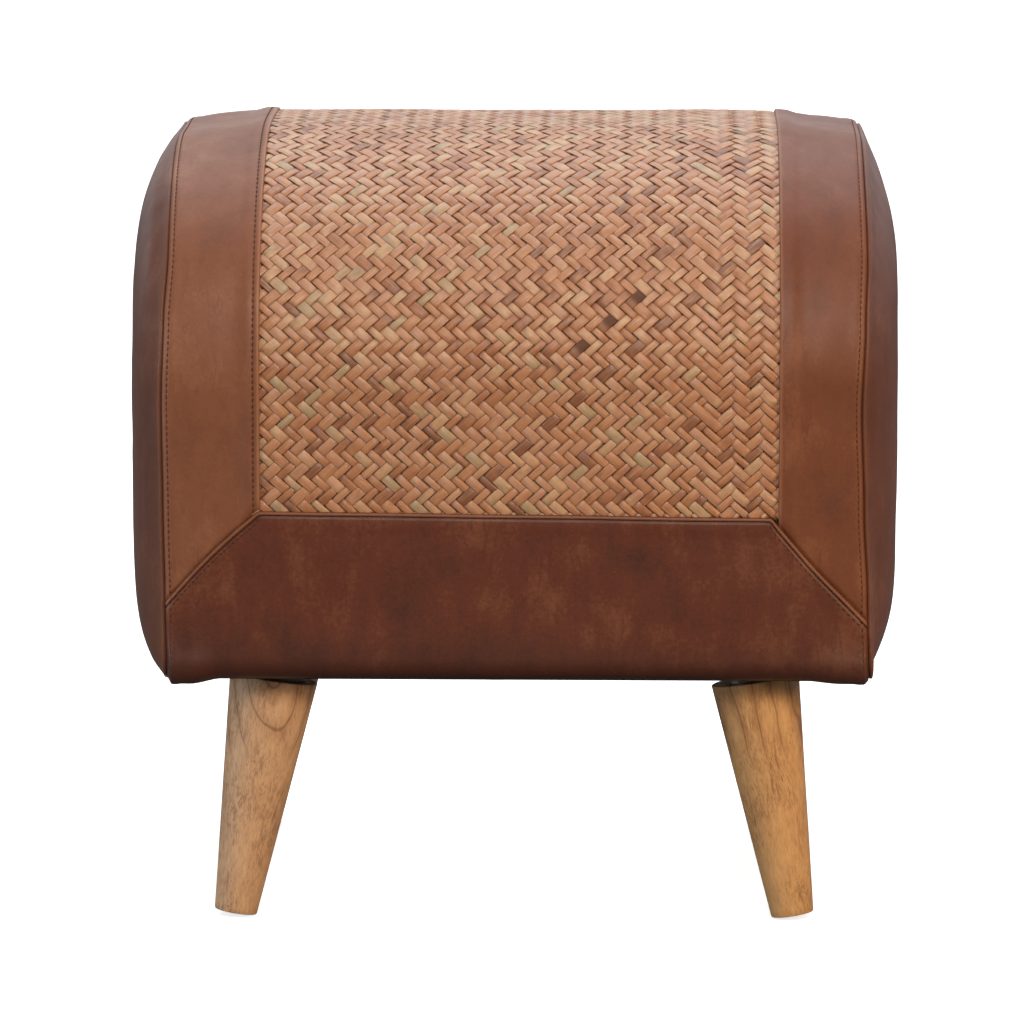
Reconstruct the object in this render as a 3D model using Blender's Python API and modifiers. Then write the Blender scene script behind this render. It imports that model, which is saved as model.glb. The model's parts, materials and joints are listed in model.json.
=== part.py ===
"""Arched footstool: a bread-loaf body in leather with a woven panel, on four splayed turned legs.

Units are metres, +Z is up and the front faces -Y. The origin is on the floor under the
middle of the body. Each separate piece of the stool is one object.
"""

import math

import bmesh
import bpy
import numpy as np
from mathutils import Matrix, Vector

# Body outline, seen from the end
HEIGHT = 0.4745         # floor to the flat of the crown
UNDERSIDE = 0.1554      # floor to the underside of the body
DEPTH = 0.346           # front face to back face
SHOULDER_R = 0.142      # round shoulders of the arch
CORNER_R = 0.014        # small round where the cover turns under
TUCK = 0.030            # how far the cover is turned under the base

# Body outline, seen from the front
SEAM_X = 0.209          # middle to the seam of each end panel
SEAM_DROP = 0.006       # how far the arch pulls in where it meets the end seam
END_BULGE = 0.0235      # how far an end panel swells beyond its seam
END_ROLL = 0.075        # distance from the seam over which it swells
END_LIP = 0.0025        # short straight edge of the end panel at the seam
PANEL_LEFT = -0.1515    # edges of the woven panel
PANEL_RIGHT = 0.1600
MITRE_RIGHT = 0.1545    # where the right mitre leaves the bands' level edge
MITRE_X = (-SEAM_X, PANEL_LEFT, MITRE_RIGHT, SEAM_X)
MITRE_Z = (0.2035, 0.2600, 0.2570, 0.1930)  # top edge of the front and back bands
END_FOOT_RISE = 0.6     # rise of an end panel's foot for each unit along its roll
END_CORNER_GROW = 0.4   # growth of its corner round for each unit along its roll

# Thicknesses
GAP = 0.0003            # clearance between pieces that touch
LEATHER = 0.0016
LINING = 0.0007
FOAM = 0.015
DECK = 0.004
FORMER = 0.015
RIB = 0.012
BASE = 0.015
BASE_ROUND = 0.010      # lower front and back edges of the base board
RAIL = 0.018
RAIL_HEIGHT = 0.080
BLOCK = 0.045           # legs of the triangular corner blocks
BLOCK_HEIGHT = 0.040
DUST = 0.0006
DUST_X = 0.190          # half sizes of the dust cover
DUST_Y = 0.158

# Legs and their fixings
LEG_TOP_R = 0.0270
LEG_FOOT_R = 0.0130
LEG_X = 0.1467          # axis of a leg at its top face
LEG_Y = 0.1100
SPLAY_X = 0.1636        # sideways run of the leg for each unit of fall
SPLAY_Y = 0.096         # forward or backward run
PLATE = 0.062
PLATE_THICK = 0.0025
BOSS_R = 0.020
BOLT_R = 0.004
BOLT_UP = 0.018
BOLT_DOWN = 0.024
BOLT_TIP_R = 0.003      # flat upper end of the machine thread
BOLT_POINT_R = 0.0018   # blunt point of the wood thread
BOLT_POINT = 0.003
BOLT_CHAMFER = 0.001
BORE_R = 0.0043
BORE_DEPTH = 0.026
BOLT_HOLE_R = 0.005
DRILL_DEPTH = 0.060
SCREW_R = 0.0016
SCREW_LENGTH = 0.013
SCREW_HEAD_R = 0.0038
SCREW_HEAD = 0.0018
SCREW_HEAD_FLAT_R = 0.0030
SCREW_POINT_R = 0.0006
SCREW_POINT = 0.003
SCREW_HOLE_R = 0.0020
SCREW_PITCH = 0.0225    # middle of the plate to a screw, in X and in Y

# Depths of each layer below the outer face of the cover
LINING_DEPTH = LEATHER + GAP
FOAM_DEPTH = LINING_DEPTH + LINING + GAP
DECK_DEPTH = FOAM_DEPTH + FOAM + GAP
FORMER_DEPTH = DECK_DEPTH + DECK + GAP

HALF_DEPTH = DEPTH / 2
FRAME_X = SEAM_X - GAP
BASE_BOTTOM = UNDERSIDE + LEATHER + GAP
BASE_TOP = BASE_BOTTOM + BASE
FRAME_BOTTOM = BASE_TOP + GAP
PLATE_TOP = UNDERSIDE - 2 * GAP - DUST
PLATE_BOTTOM = PLATE_TOP - PLATE_THICK
LEG_TILT = math.atan(math.hypot(SPLAY_X, SPLAY_Y))
LEG_TOP_Z = PLATE_BOTTOM - LEG_TOP_R * math.sin(LEG_TILT) - 2 * GAP

SHOULDER_STEPS = 10
CORNER_STEPS = 3
ROUND_STEPS = 24
SMALL_STEPS = 8
DRILL_STEPS = 16
SMOOTH_ANGLE = math.radians(35)
SEAM_SHARES = np.array([0.0, 0.35, 0.65, 0.88, 1.0])        # columns from a panel edge to an end seam
ROLL_SHARES = np.array([0.0, 0.14, 0.30, 0.48, 0.70, 1.0])  # rings of an end panel along its roll

# The half arch is five runs: under the base, corner, upright side, shoulder, crown
RUNS = np.cumsum([0.0, TUCK - CORNER_R, CORNER_R * math.pi / 2,
                  HEIGHT - SHOULDER_R - UNDERSIDE - CORNER_R,
                  SHOULDER_R * math.pi / 2, HALF_DEPTH - SHOULDER_R])
RUN_STEPS = (1, CORNER_STEPS, 1, SHOULDER_STEPS, 1)
ARCH_LENGTH = 2 * RUNS[-1]


def clear_scene():
    for obj in list(bpy.data.objects):
        bpy.data.objects.remove(obj, do_unlink=True)


def new_collection(name):
    group = bpy.data.collections.new(name)
    bpy.context.scene.collection.children.link(group)
    return group


def make_material(name, colour, roughness, metallic=0.0):
    material = bpy.data.materials.new(name)
    material.use_nodes = True
    shader = material.node_tree.nodes["Principled BSDF"]
    shader.inputs["Base Color"].default_value = (*colour, 1.0)
    shader.inputs["Roughness"].default_value = roughness
    shader.inputs["Metallic"].default_value = metallic
    return material


def add_object(name, data, group, material=None):
    obj = bpy.data.objects.new(name, data)
    group.objects.link(obj)
    if material is not None:
        data.materials.append(material)
    return obj


def mesh_from(vertices, faces, name):
    mesh = bpy.data.meshes.new(name)
    mesh.from_pydata([tuple(v) for v in vertices], [], faces)
    mesh.update()
    return mesh


def smooth(obj):
    obj.data.shade_smooth()
    obj.data.set_sharp_from_angle(angle=SMOOTH_ANGLE)


# ------------------------------------------------------------------ the arch

def arch(s):
    """Point and outward normal of the cover's outer face, s metres along it from the front tuck.

    Returns y, z, ny, nz as arrays. The back half mirrors the front half.
    """
    s = np.asarray(s, float)
    near = np.minimum(s, ARCH_LENGTH - s)
    side = np.where(s > ARCH_LENGTH / 2, 1.0, -1.0)
    corner = (near - RUNS[1]) / CORNER_R - math.pi / 2
    shoulder = (near - RUNS[3]) / SHOULDER_R
    turn = np.select([near < RUNS[1], near < RUNS[2], near < RUNS[3], near < RUNS[4]],
                     [-math.pi / 2, corner, 0.0, shoulder], math.pi / 2)
    out, up = np.cos(turn), np.sin(turn)
    y = np.select(
        [near < RUNS[1], near < RUNS[2], near < RUNS[3], near < RUNS[4]],
        [HALF_DEPTH - TUCK + near, HALF_DEPTH - CORNER_R * (1 - out), HALF_DEPTH,
         HALF_DEPTH - SHOULDER_R * (1 - out)],
        RUNS[5] - near)
    z = np.select(
        [near < RUNS[1], near < RUNS[2], near < RUNS[3], near < RUNS[4]],
        [UNDERSIDE, UNDERSIDE + CORNER_R * (1 + up), UNDERSIDE + CORNER_R + near - RUNS[2],
         HEIGHT - SHOULDER_R * (1 - up)],
        HEIGHT)
    return side * y, z, side * out, up


def run_at_height(z):
    """Distance along the arch at which its upright front side reaches a height."""
    return RUNS[2] + np.asarray(z, float) - UNDERSIDE - CORNER_R


def stations(first, last):
    """Places along the arch between two distances, close together on the round stretches."""
    half = np.concatenate([np.linspace(a, b, n, endpoint=False)
                           for a, b, n in zip(RUNS[:-1], RUNS[1:], RUN_STEPS)])
    every = np.concatenate([half, ARCH_LENGTH - half])
    every = np.unique(np.round(every, 7))
    return every[(every > first + 0.001) & (every < last - 0.001)]


def seam_drop(x):
    """How far the arch pulls in at x: nothing over the panel, a quarter ellipse to the seam."""
    reach = np.interp(np.abs(x), [-PANEL_LEFT, SEAM_X], [0.0, 1.0])
    return SEAM_DROP * (1 - np.sqrt(1 - reach ** 2))


def band_edge(x):
    """Height of the front and back bands' top edge, with its mitres at both sides."""
    return np.interp(x, MITRE_X, MITRE_Z)


def arch_sheet(name, columns, first, last, depth, wall, group, material,
               follows_seam=True, level_inside=False):
    """A layer of the arch: an open sheet, lofted across X, with a wall given inwards.

    first and last are the distances along the arch where each column starts and ends.
    A layer that follows the seam pulls in towards it, and one that is level inside keeps
    its inner face straight there.
    """
    columns = np.asarray(columns, float)
    first = np.broadcast_to(first, columns.shape)
    last = np.broadcast_to(last, columns.shape)
    between = stations(first.max(), last.min())
    s = np.vstack([first, np.repeat(between[:, None], len(columns), axis=1), last])
    y, z, ny, nz = arch(s)
    drop = np.broadcast_to(seam_drop(columns) * follows_seam, s.shape)
    y = y - ny * (depth + drop)
    z = z - nz * depth - np.maximum(nz, 0.0) * drop
    x = np.broadcast_to(columns, s.shape)
    rows, cols = s.shape
    index = np.arange(rows * cols).reshape(rows, cols)
    faces = [(int(index[i, j]), int(index[i, j + 1]), int(index[i + 1, j + 1]), int(index[i + 1, j]))
             for i in range(rows - 1) for j in range(cols - 1)]
    mesh = mesh_from(np.stack([x, y, z], axis=-1).reshape(-1, 3), faces, name)
    obj = add_object(name, mesh, group, material)
    shell = obj.modifiers.new("wall", "SOLIDIFY")
    shell.thickness = wall
    shell.offset = -1.0
    shell.use_even_offset = True
    if level_inside:
        weights = obj.vertex_groups.new(name="wall")
        for vertex, share in enumerate((1 - drop / wall).reshape(-1)):
            weights.add([vertex], float(share), "REPLACE")
        shell.vertex_group = "wall"
    smooth(obj)
    return obj


# ------------------------------------------------------------------ outlines, lofts and turnings

def arc(centre, radius, start, stop, steps):
    """Points of an arc in the YZ plane, angles in degrees from +Y towards +Z."""
    angles = np.radians(np.linspace(start, stop, steps + 1))
    return np.stack([centre[0] + radius * np.cos(angles), centre[1] + radius * np.sin(angles)], axis=1)


def loaf_outline(inset, bottom, corner):
    """Closed arch outline (y, z) from the front bottom corner, over the top, to the back."""
    half = HALF_DEPTH - inset
    top = HEIGHT - inset
    shoulder = SHOULDER_R - inset
    front_foot = [[-half, bottom]]
    if corner > 0:
        front_foot = arc((-half + corner, bottom + corner), corner, 270, 180, CORNER_STEPS)
    round_top = arc((-half + shoulder, top - shoulder), shoulder, 180, 90, SHOULDER_STEPS)
    front = np.concatenate([front_foot, round_top])
    back = front[::-1] * (-1, 1)
    return np.concatenate([front, back])


def loft(name, rings, group, material, cap_first=True, flip=False):
    """Skin over a list of rings with equal counts, closed at the last and maybe the first."""
    count = len(rings[0])
    faces = []
    for k in range(len(rings) - 1):
        for i in range(count):
            j = (i + 1) % count
            faces.append((k * count + i, k * count + j, (k + 1) * count + j, (k + 1) * count + i))
    faces.append(tuple(range((len(rings) - 1) * count, len(rings) * count)))
    if cap_first:
        faces.append(tuple(reversed(range(count))))
    if flip:
        faces = [tuple(reversed(face)) for face in faces]
    obj = add_object(name, mesh_from(np.concatenate(rings), faces, name), group, material)
    smooth(obj)
    return obj


def board(name, outline, thickness, centre_x, group, material):
    """A flat board cut to a (y, z) outline, its thickness along X."""
    curve = bpy.data.curves.new(name, "CURVE")
    curve.dimensions = "2D"
    curve.fill_mode = "BOTH"
    curve.extrude = thickness / 2
    spline = curve.splines.new("POLY")
    spline.points.add(len(outline) - 1)
    for point, (y, z) in zip(spline.points, outline):
        point.co = (y, z, 0.0, 1.0)
    spline.use_cyclic_u = True
    obj = add_object(name, curve, group, material)
    obj.rotation_euler = (math.pi / 2, 0.0, math.pi / 2)
    obj.location = (centre_x, 0.0, 0.0)
    return obj


def as_mesh(obj, group):
    """The same board as a welded mesh, so that holes can be cut in it."""
    bpy.context.view_layer.update()
    evaluated = obj.evaluated_get(bpy.context.evaluated_depsgraph_get())
    mesh = bpy.data.meshes.new_from_object(evaluated)
    work = bmesh.new()
    work.from_mesh(mesh)
    bmesh.ops.remove_doubles(work, verts=work.verts, dist=0.00001)
    work.to_mesh(mesh)
    work.free()
    name = obj.name
    place = obj.matrix_world.copy()
    bpy.data.objects.remove(obj, do_unlink=True)
    solid = bpy.data.objects.new(name, mesh)
    solid.matrix_world = place
    group.objects.link(solid)
    return solid


def box(name, low, high, group, material):
    """An upright box between two corners."""
    low, high = Vector(low), Vector(high)
    work = bmesh.new()
    bmesh.ops.create_cube(work, size=1.0)
    bmesh.ops.scale(work, vec=high - low, verts=work.verts)
    mesh = bpy.data.meshes.new(name)
    work.to_mesh(mesh)
    work.free()
    obj = add_object(name, mesh, group, material)
    obj.location = (low + high) / 2
    return obj


def turned(name, profile, steps, place, group, material):
    """A turned piece: its (radius, height) profile, outer side downwards, swept about local Z."""
    vertices = [(r, 0.0, h) for r, h in profile]
    edges = [(i, i + 1) for i in range(len(vertices) - 1)]
    mesh = bpy.data.meshes.new(name)
    mesh.from_pydata(vertices, edges, [])
    obj = add_object(name, mesh, group, material)
    sweep = obj.modifiers.new("turn", "SCREW")
    sweep.steps = steps
    sweep.render_steps = steps
    sweep.use_merge_vertices = True
    sweep.merge_threshold = 0.00005
    obj.matrix_world = place
    return obj


def cut(obj, cutter, operation="DIFFERENCE"):
    change = obj.modifiers.new(cutter.name, "BOOLEAN")
    change.operation = operation
    change.object = cutter


# ------------------------------------------------------------------ the body

def build_frame(group, colours):
    """Plywood and softwood carcass inside the padding."""
    half = HALF_DEPTH - LINING_DEPTH - SEAM_DROP - GAP
    foot = arc((-half + BASE_ROUND, BASE_BOTTOM + BASE_ROUND), BASE_ROUND, 180, 270, CORNER_STEPS)
    side = np.concatenate([[[-half, BASE_TOP]], foot])
    base = board("base_board", np.concatenate([side, side[::-1] * (-1, 1)]), 2 * FRAME_X, 0.0, group,
                 colours["plywood"])
    base = as_mesh(base, group)
    former = loaf_outline(FORMER_DEPTH, FRAME_BOTTOM, 0.0)
    for side_name, sign in (("left", -1), ("right", 1)):
        board(f"{side_name}_arch_former", former, FORMER, sign * (FRAME_X - FORMER / 2), group,
              colours["plywood"])

    inner = HALF_DEPTH - FORMER_DEPTH
    notch = inner - RAIL - GAP
    notch_top = FRAME_BOTTOM + RAIL_HEIGHT + GAP
    step = np.array([[-notch, FRAME_BOTTOM], [-notch, notch_top], [-inner, notch_top]])
    rib = np.concatenate([step, former[1:-1], step[::-1] * (-1, 1)])
    board("centre_rib", rib, RIB, 0.0, group, colours["plywood"])

    rail_x = FRAME_X - FORMER - GAP
    for side_name, sign in (("front", -1), ("back", 1)):
        edges = sorted((sign * inner, sign * (inner - RAIL)))
        box(f"{side_name}_rail", (-rail_x, edges[0], FRAME_BOTTOM),
            (rail_x, edges[1], FRAME_BOTTOM + RAIL_HEIGHT), group, colours["softwood"])
        for hand, across in (("left", -1), ("right", 1)):
            corner_block(f"corner_block_{side_name}_{hand}", across, sign,
                         rail_x - GAP, notch, group, colours["softwood"])

    start = run_at_height(FRAME_BOTTOM)
    arch_sheet("arch_deck", [-FRAME_X, FRAME_X], start, ARCH_LENGTH - start, DECK_DEPTH, DECK, group,
               colours["plywood"], follows_seam=False)
    return base


def corner_block(name, across, along, reach_x, reach_y, group, material):
    """Triangular block glued in the corner between a former and a rail, on the base board."""
    curve = bpy.data.curves.new(name, "CURVE")
    curve.dimensions = "2D"
    curve.fill_mode = "BOTH"
    curve.extrude = BLOCK_HEIGHT / 2
    spline = curve.splines.new("POLY")
    corners = ((reach_x, reach_y), (reach_x - BLOCK, reach_y), (reach_x, reach_y - BLOCK))
    spline.points.add(len(corners) - 1)
    for point, (x, y) in zip(spline.points, corners):
        point.co = (across * x, along * y, 0.0, 1.0)
    spline.use_cyclic_u = True
    obj = add_object(name, curve, group, material)
    obj.location = (0.0, 0.0, FRAME_BOTTOM + BLOCK_HEIGHT / 2)


def seam_columns(inner, outer):
    """Columns from a panel edge to the end seam, closer together where the arch pulls in."""
    return inner + (outer - inner) * SEAM_SHARES


def build_padding(group, colours):
    """Foam over the deck and on both ends."""
    half = seam_columns(-PANEL_LEFT, FRAME_X)
    columns = np.concatenate([-half[::-1], half])
    start = run_at_height(FRAME_BOTTOM)
    arch_sheet("arch_foam", columns, start, ARCH_LENGTH - start, FOAM_DEPTH, FOAM, group, colours["foam"],
               level_inside=True)
    arch_sheet("lining", columns, start, ARCH_LENGTH - start, LINING_DEPTH, LINING, group, colours["lining"])
    under_cover = LEATHER + 2 * GAP
    for side_name, sign in (("left", -1), ("right", 1)):
        rings = [end_ring(sign, 0.0, GAP, under_cover)]
        rings += [end_ring(sign, along, rise - under_cover, under_cover) for along, rise in end_profile()[1:]]
        loft(f"{side_name}_end_foam", rings, group, colours["foam"], flip=sign > 0)


def end_profile():
    """Distance from the seam and rise of an end panel: a parabola that ends level."""
    rise = END_LIP + (END_BULGE - END_LIP) * (1 - (1 - ROLL_SHARES) ** 2)
    return list(zip(ROLL_SHARES * END_ROLL, rise))


def end_ring(sign, along, rise, under=0.0):
    """One closed ring of an end panel, pulled in from the seam and out along X.

    The foot of the ring rises more slowly than its sides pull in, because the panel turns
    under more sharply there.
    """
    inset = SEAM_DROP + along + under
    outline = loaf_outline(inset, UNDERSIDE + under + along * END_FOOT_RISE,
                           CORNER_R + along * END_CORNER_GROW)
    across = np.full((len(outline), 1), sign * (SEAM_X + GAP / 2 + rise))
    return np.hstack([across, outline])


def build_cover(group, colours):
    """Leather and woven cover, in the pieces it is sewn from."""
    over = ARCH_LENGTH
    panel = np.array([PANEL_LEFT, 0.0, MITRE_RIGHT, PANEL_RIGHT])
    start = run_at_height(band_edge(panel)) + GAP
    arch_sheet("woven_panel", panel, start, over - start, 0.0, LEATHER, group, colours["woven"])

    for side_name, inner in (("left", PANEL_LEFT - GAP), ("right", PANEL_RIGHT + GAP)):
        columns = seam_columns(inner, math.copysign(SEAM_X - GAP / 2, inner))
        if inner < 0:
            columns = columns[::-1]
        start = run_at_height(band_edge(columns)) + 2 * GAP
        arch_sheet(f"{side_name}_border_strip", columns, start, over - start, 0.0, LEATHER, group,
                   colours["leather"])

    seam = SEAM_X - GAP / 2
    corners = [seam_columns(PANEL_LEFT, -seam)[::-1], [MITRE_RIGHT], seam_columns(PANEL_RIGHT, seam)]
    columns = np.concatenate(corners)
    edge = run_at_height(band_edge(columns))
    arch_sheet("front_band", columns, 0.0, edge, 0.0, LEATHER, group, colours["leather"])
    arch_sheet("back_band", columns, over - edge, over, 0.0, LEATHER, group, colours["leather"])

    for side_name, sign in (("left", -1), ("right", 1)):
        rings = [end_ring(sign, 0.0, 0.0)]
        rings += [end_ring(sign, along, rise) for along, rise in end_profile()]
        cover = loft(f"{side_name}_end_cover", rings, group, colours["leather"], cap_first=False, flip=sign > 0)
        shell = cover.modifiers.new("wall", "SOLIDIFY")
        shell.thickness = LEATHER
        shell.offset = -1.0
        shell.use_even_offset = True

    top = UNDERSIDE - GAP
    return box("dust_cover", (-DUST_X, -DUST_Y, top - DUST), (DUST_X, DUST_Y, top), group,
               colours["dust_cloth"])


# ------------------------------------------------------------------ the legs

def leg_frame(across, along):
    """Frame of a leg: origin at the middle of its top face, -Z down its axis, +X to its lowest rim."""
    down = Vector((across * SPLAY_X, along * SPLAY_Y, -1.0)).normalized()
    lowest = (Vector((0.0, 0.0, -1.0)) + down * down.z).normalized()
    turn = Matrix((lowest, (-down).cross(lowest), -down)).transposed()
    return Matrix.Translation((across * LEG_X, along * LEG_Y, LEG_TOP_Z)) @ turn.to_4x4()


def build_leg(hand, across, along, group, guides, colours):
    """One leg with its hanger bolt, its sloped plate and four screws. Returns the drill for its holes."""
    place = leg_frame(across, along)
    down = -place.col[2].to_3d()
    fall = -down.z
    length = (LEG_TOP_Z - LEG_FOOT_R * math.sqrt(1 - fall ** 2)) / fall
    turned(f"leg_{hand}",
           [(0.0, -BORE_DEPTH), (BORE_R, -BORE_DEPTH), (BORE_R, 0.0), (LEG_TOP_R, 0.0),
            (LEG_FOOT_R, -length), (0.0, -length)],
           ROUND_STEPS, place, group, colours["leg_wood"])
    turned(f"hanger_bolt_{hand}",
           [(0.0, BOLT_UP), (BOLT_TIP_R, BOLT_UP), (BOLT_R, BOLT_UP - BOLT_CHAMFER),
            (BOLT_R, BOLT_POINT - BOLT_DOWN), (BOLT_POINT_R, -BOLT_DOWN), (0.0, -BOLT_DOWN)],
           SMALL_STEPS, place, group, colours["steel"])

    middle = (PLATE_TOP + PLATE_BOTTOM) / 2
    centre = place.translation + down * ((LEG_TOP_Z - middle) / fall)
    drill = hole_drill(f"drill_{hand}", place, centre, guides)
    corner = Vector((PLATE / 2, PLATE / 2, 0.0))
    plate = box(f"leg_plate_{hand}", Vector((centre.x, centre.y, PLATE_BOTTOM)) - corner,
                Vector((centre.x, centre.y, PLATE_TOP)) + corner, group, colours["steel"])
    cut(plate, boss(hand, place, centre, guides), "UNION")
    cut(plate, drill)

    head_low = PLATE_BOTTOM - GAP - SCREW_HEAD
    screw_top = head_low + SCREW_HEAD + SCREW_LENGTH
    for number, (right, back) in enumerate(((-1, -1), (1, -1), (1, 1), (-1, 1)), start=1):
        spot = (centre.x + right * SCREW_PITCH, centre.y + back * SCREW_PITCH, 0.0)
        turned(f"plate_screw_{hand}_{number}",
               [(0.0, screw_top), (SCREW_POINT_R, screw_top), (SCREW_R, screw_top - SCREW_POINT),
                (SCREW_R, head_low + SCREW_HEAD), (SCREW_HEAD_R, head_low + SCREW_HEAD),
                (SCREW_HEAD_FLAT_R, head_low), (0.0, head_low)],
               SMALL_STEPS, Matrix.Translation(spot), group, colours["steel"])
    return drill


def boss(hand, place, centre, guides):
    """Sloped middle of a leg plate: a level round inside the plate, a tilted round on the leg."""
    angles = np.linspace(0, 2 * math.pi, ROUND_STEPS, endpoint=False)
    flat = np.stack([np.cos(angles), np.sin(angles), np.zeros(ROUND_STEPS)], axis=1) * BOSS_R
    tilted = [place @ (Vector(point) + Vector((0.0, 0.0, GAP))) for point in flat]
    heading = math.atan2(place.col[0].y, place.col[0].x)
    level = [Matrix.Rotation(heading, 3, "Z") @ Vector(point) + centre for point in flat]
    shape = loft(f"boss_{hand}", [np.array(tilted), np.array(level)], guides, None)
    return hide_guide(shape)


def hole_drill(name, place, centre, guides):
    """Guide with the bolt hole and four screw holes of one leg, as five separate rods."""
    work = bmesh.new()
    bolt = place @ Matrix.Translation((0.0, 0.0, BOLT_UP / 2))
    bmesh.ops.create_cone(work, cap_ends=True, segments=DRILL_STEPS, radius1=BOLT_HOLE_R,
                          radius2=BOLT_HOLE_R, depth=DRILL_DEPTH, matrix=bolt)
    for right in (-1, 1):
        for back in (-1, 1):
            spot = Vector((right * SCREW_PITCH, back * SCREW_PITCH, 0.0)) + centre
            bmesh.ops.create_cone(work, cap_ends=True, segments=SMALL_STEPS, radius1=SCREW_HOLE_R,
                                  radius2=SCREW_HOLE_R, depth=2 * SCREW_LENGTH + GAP,
                                  matrix=Matrix.Translation(spot))
    mesh = bpy.data.meshes.new(name)
    work.to_mesh(mesh)
    work.free()
    return hide_guide(add_object(name, mesh, guides))


def hide_guide(obj):
    obj.hide_render = True
    obj.display_type = "WIRE"
    return obj


def main():
    clear_scene()
    group = new_collection("arched_footstool")
    guides = new_collection("cutters")
    colours = {
        "leather": make_material("leather", (0.21, 0.088, 0.050), 0.45),
        "woven": make_material("woven", (0.41, 0.205, 0.120), 0.55),
        "leg_wood": make_material("leg_wood", (0.42, 0.22, 0.115), 0.50),
        "plywood": make_material("plywood", (0.55, 0.40, 0.25), 0.70),
        "softwood": make_material("softwood", (0.62, 0.47, 0.30), 0.70),
        "foam": make_material("foam", (0.80, 0.76, 0.62), 0.95),
        "lining": make_material("lining", (0.05, 0.028, 0.018), 0.90),
        "dust_cloth": make_material("dust_cloth", (0.02, 0.02, 0.02), 0.90),
        "steel": make_material("steel", (0.55, 0.55, 0.56), 0.35, 1.0),
    }
    base = build_frame(group, colours)
    build_padding(group, colours)
    dust_cover = build_cover(group, colours)
    for side_name, along in (("front", -1), ("back", 1)):
        for hand, across in (("left", -1), ("right", 1)):
            drill = build_leg(f"{side_name}_{hand}", across, along, group, guides, colours)
            cut(base, drill)
            cut(dust_cover, drill)


main()
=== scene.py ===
"""Looks of an arched footstool: a woven panel and leather sewn over a loaf-shaped body on turned legs.

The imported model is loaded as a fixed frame. Every visible soft or turned piece is then made again at its
full detail from numpy grids, in the space that its plain solid holds, and everything gets its finish.
"""

from __future__ import annotations

import json
import logging
import math
from dataclasses import dataclass, field
from enum import Enum
from typing import ClassVar

import bpy
import numpy as np
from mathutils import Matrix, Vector

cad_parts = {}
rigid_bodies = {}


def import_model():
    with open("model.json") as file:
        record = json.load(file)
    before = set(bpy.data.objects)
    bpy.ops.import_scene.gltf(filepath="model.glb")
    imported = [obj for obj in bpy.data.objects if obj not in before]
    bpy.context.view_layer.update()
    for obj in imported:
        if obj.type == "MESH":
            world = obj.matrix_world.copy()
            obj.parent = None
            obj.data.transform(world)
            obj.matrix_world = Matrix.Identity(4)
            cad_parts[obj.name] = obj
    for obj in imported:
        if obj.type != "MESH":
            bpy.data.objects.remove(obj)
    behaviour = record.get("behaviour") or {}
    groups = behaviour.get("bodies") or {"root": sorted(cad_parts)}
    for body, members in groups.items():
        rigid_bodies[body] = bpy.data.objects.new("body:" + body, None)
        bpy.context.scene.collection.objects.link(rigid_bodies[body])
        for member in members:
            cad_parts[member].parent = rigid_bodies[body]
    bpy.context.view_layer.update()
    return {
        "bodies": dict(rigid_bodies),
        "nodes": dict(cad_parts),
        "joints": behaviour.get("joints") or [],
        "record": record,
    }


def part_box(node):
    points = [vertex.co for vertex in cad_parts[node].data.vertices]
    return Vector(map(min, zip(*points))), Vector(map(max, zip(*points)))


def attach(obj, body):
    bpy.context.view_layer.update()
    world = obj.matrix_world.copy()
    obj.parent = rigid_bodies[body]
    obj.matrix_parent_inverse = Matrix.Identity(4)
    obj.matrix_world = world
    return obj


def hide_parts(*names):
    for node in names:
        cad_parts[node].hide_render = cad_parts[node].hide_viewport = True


LOG = logging.getLogger("footstool")

MM = 0.001
BODY = "body"


# --------------------------------------------------------------------------- meshes

def smoothstep(value: np.ndarray, low: float = 0.0, high: float = 1.0) -> np.ndarray:
    """Eases from 0 at low to 1 at high with level ends: 3t^2 - 2t^3."""
    t = np.clip((value - low) / (high - low), 0.0, 1.0)
    return t * t * (3.0 - 2.0 * t)


def ripples(u: np.ndarray, v: np.ndarray, size: float, seed: int, count: int = 14) -> np.ndarray:
    """Smooth unevenness over a surface: sine waves in random directions, added up.

    Args:
        u: First surface coordinate, in metres.
        v: Second surface coordinate, in metres.
        size: Typical wavelength in metres.
        seed: Seed of the waves' directions, lengths and phases.
        count: Number of waves.

    Returns:
        Values mostly between -1 and 1.
    """
    rng = np.random.default_rng(seed)
    headings = rng.uniform(0.0, 2.0 * math.pi, count)
    lengths = size * rng.uniform(0.6, 1.8, count)
    phases = rng.uniform(0.0, 2.0 * math.pi, count)
    total = np.zeros(np.broadcast(u, v).shape)
    for heading, length, phase in zip(headings, lengths, phases):
        total += np.sin((u * math.cos(heading) + v * math.sin(heading)) * 2.0 * math.pi / length + phase)
    return total / math.sqrt(2.0 * count)


def grid_quads(rows: int, cols: int, wrap: bool = False) -> np.ndarray:
    """Faces of a grid of points stored row by row.

    Args:
        rows: Number of rows.
        cols: Number of points in a row.
        wrap: Whether each row closes on itself.

    Returns:
        An (n, 4) array of point numbers.
    """
    i, j = np.meshgrid(np.arange(rows - 1), np.arange(cols if wrap else cols - 1), indexing="ij")
    k = (j + 1) % cols
    quads = np.stack([i * cols + j, i * cols + k, (i + 1) * cols + k, (i + 1) * cols + j], axis=-1)
    return quads.reshape(-1, 4)


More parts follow.
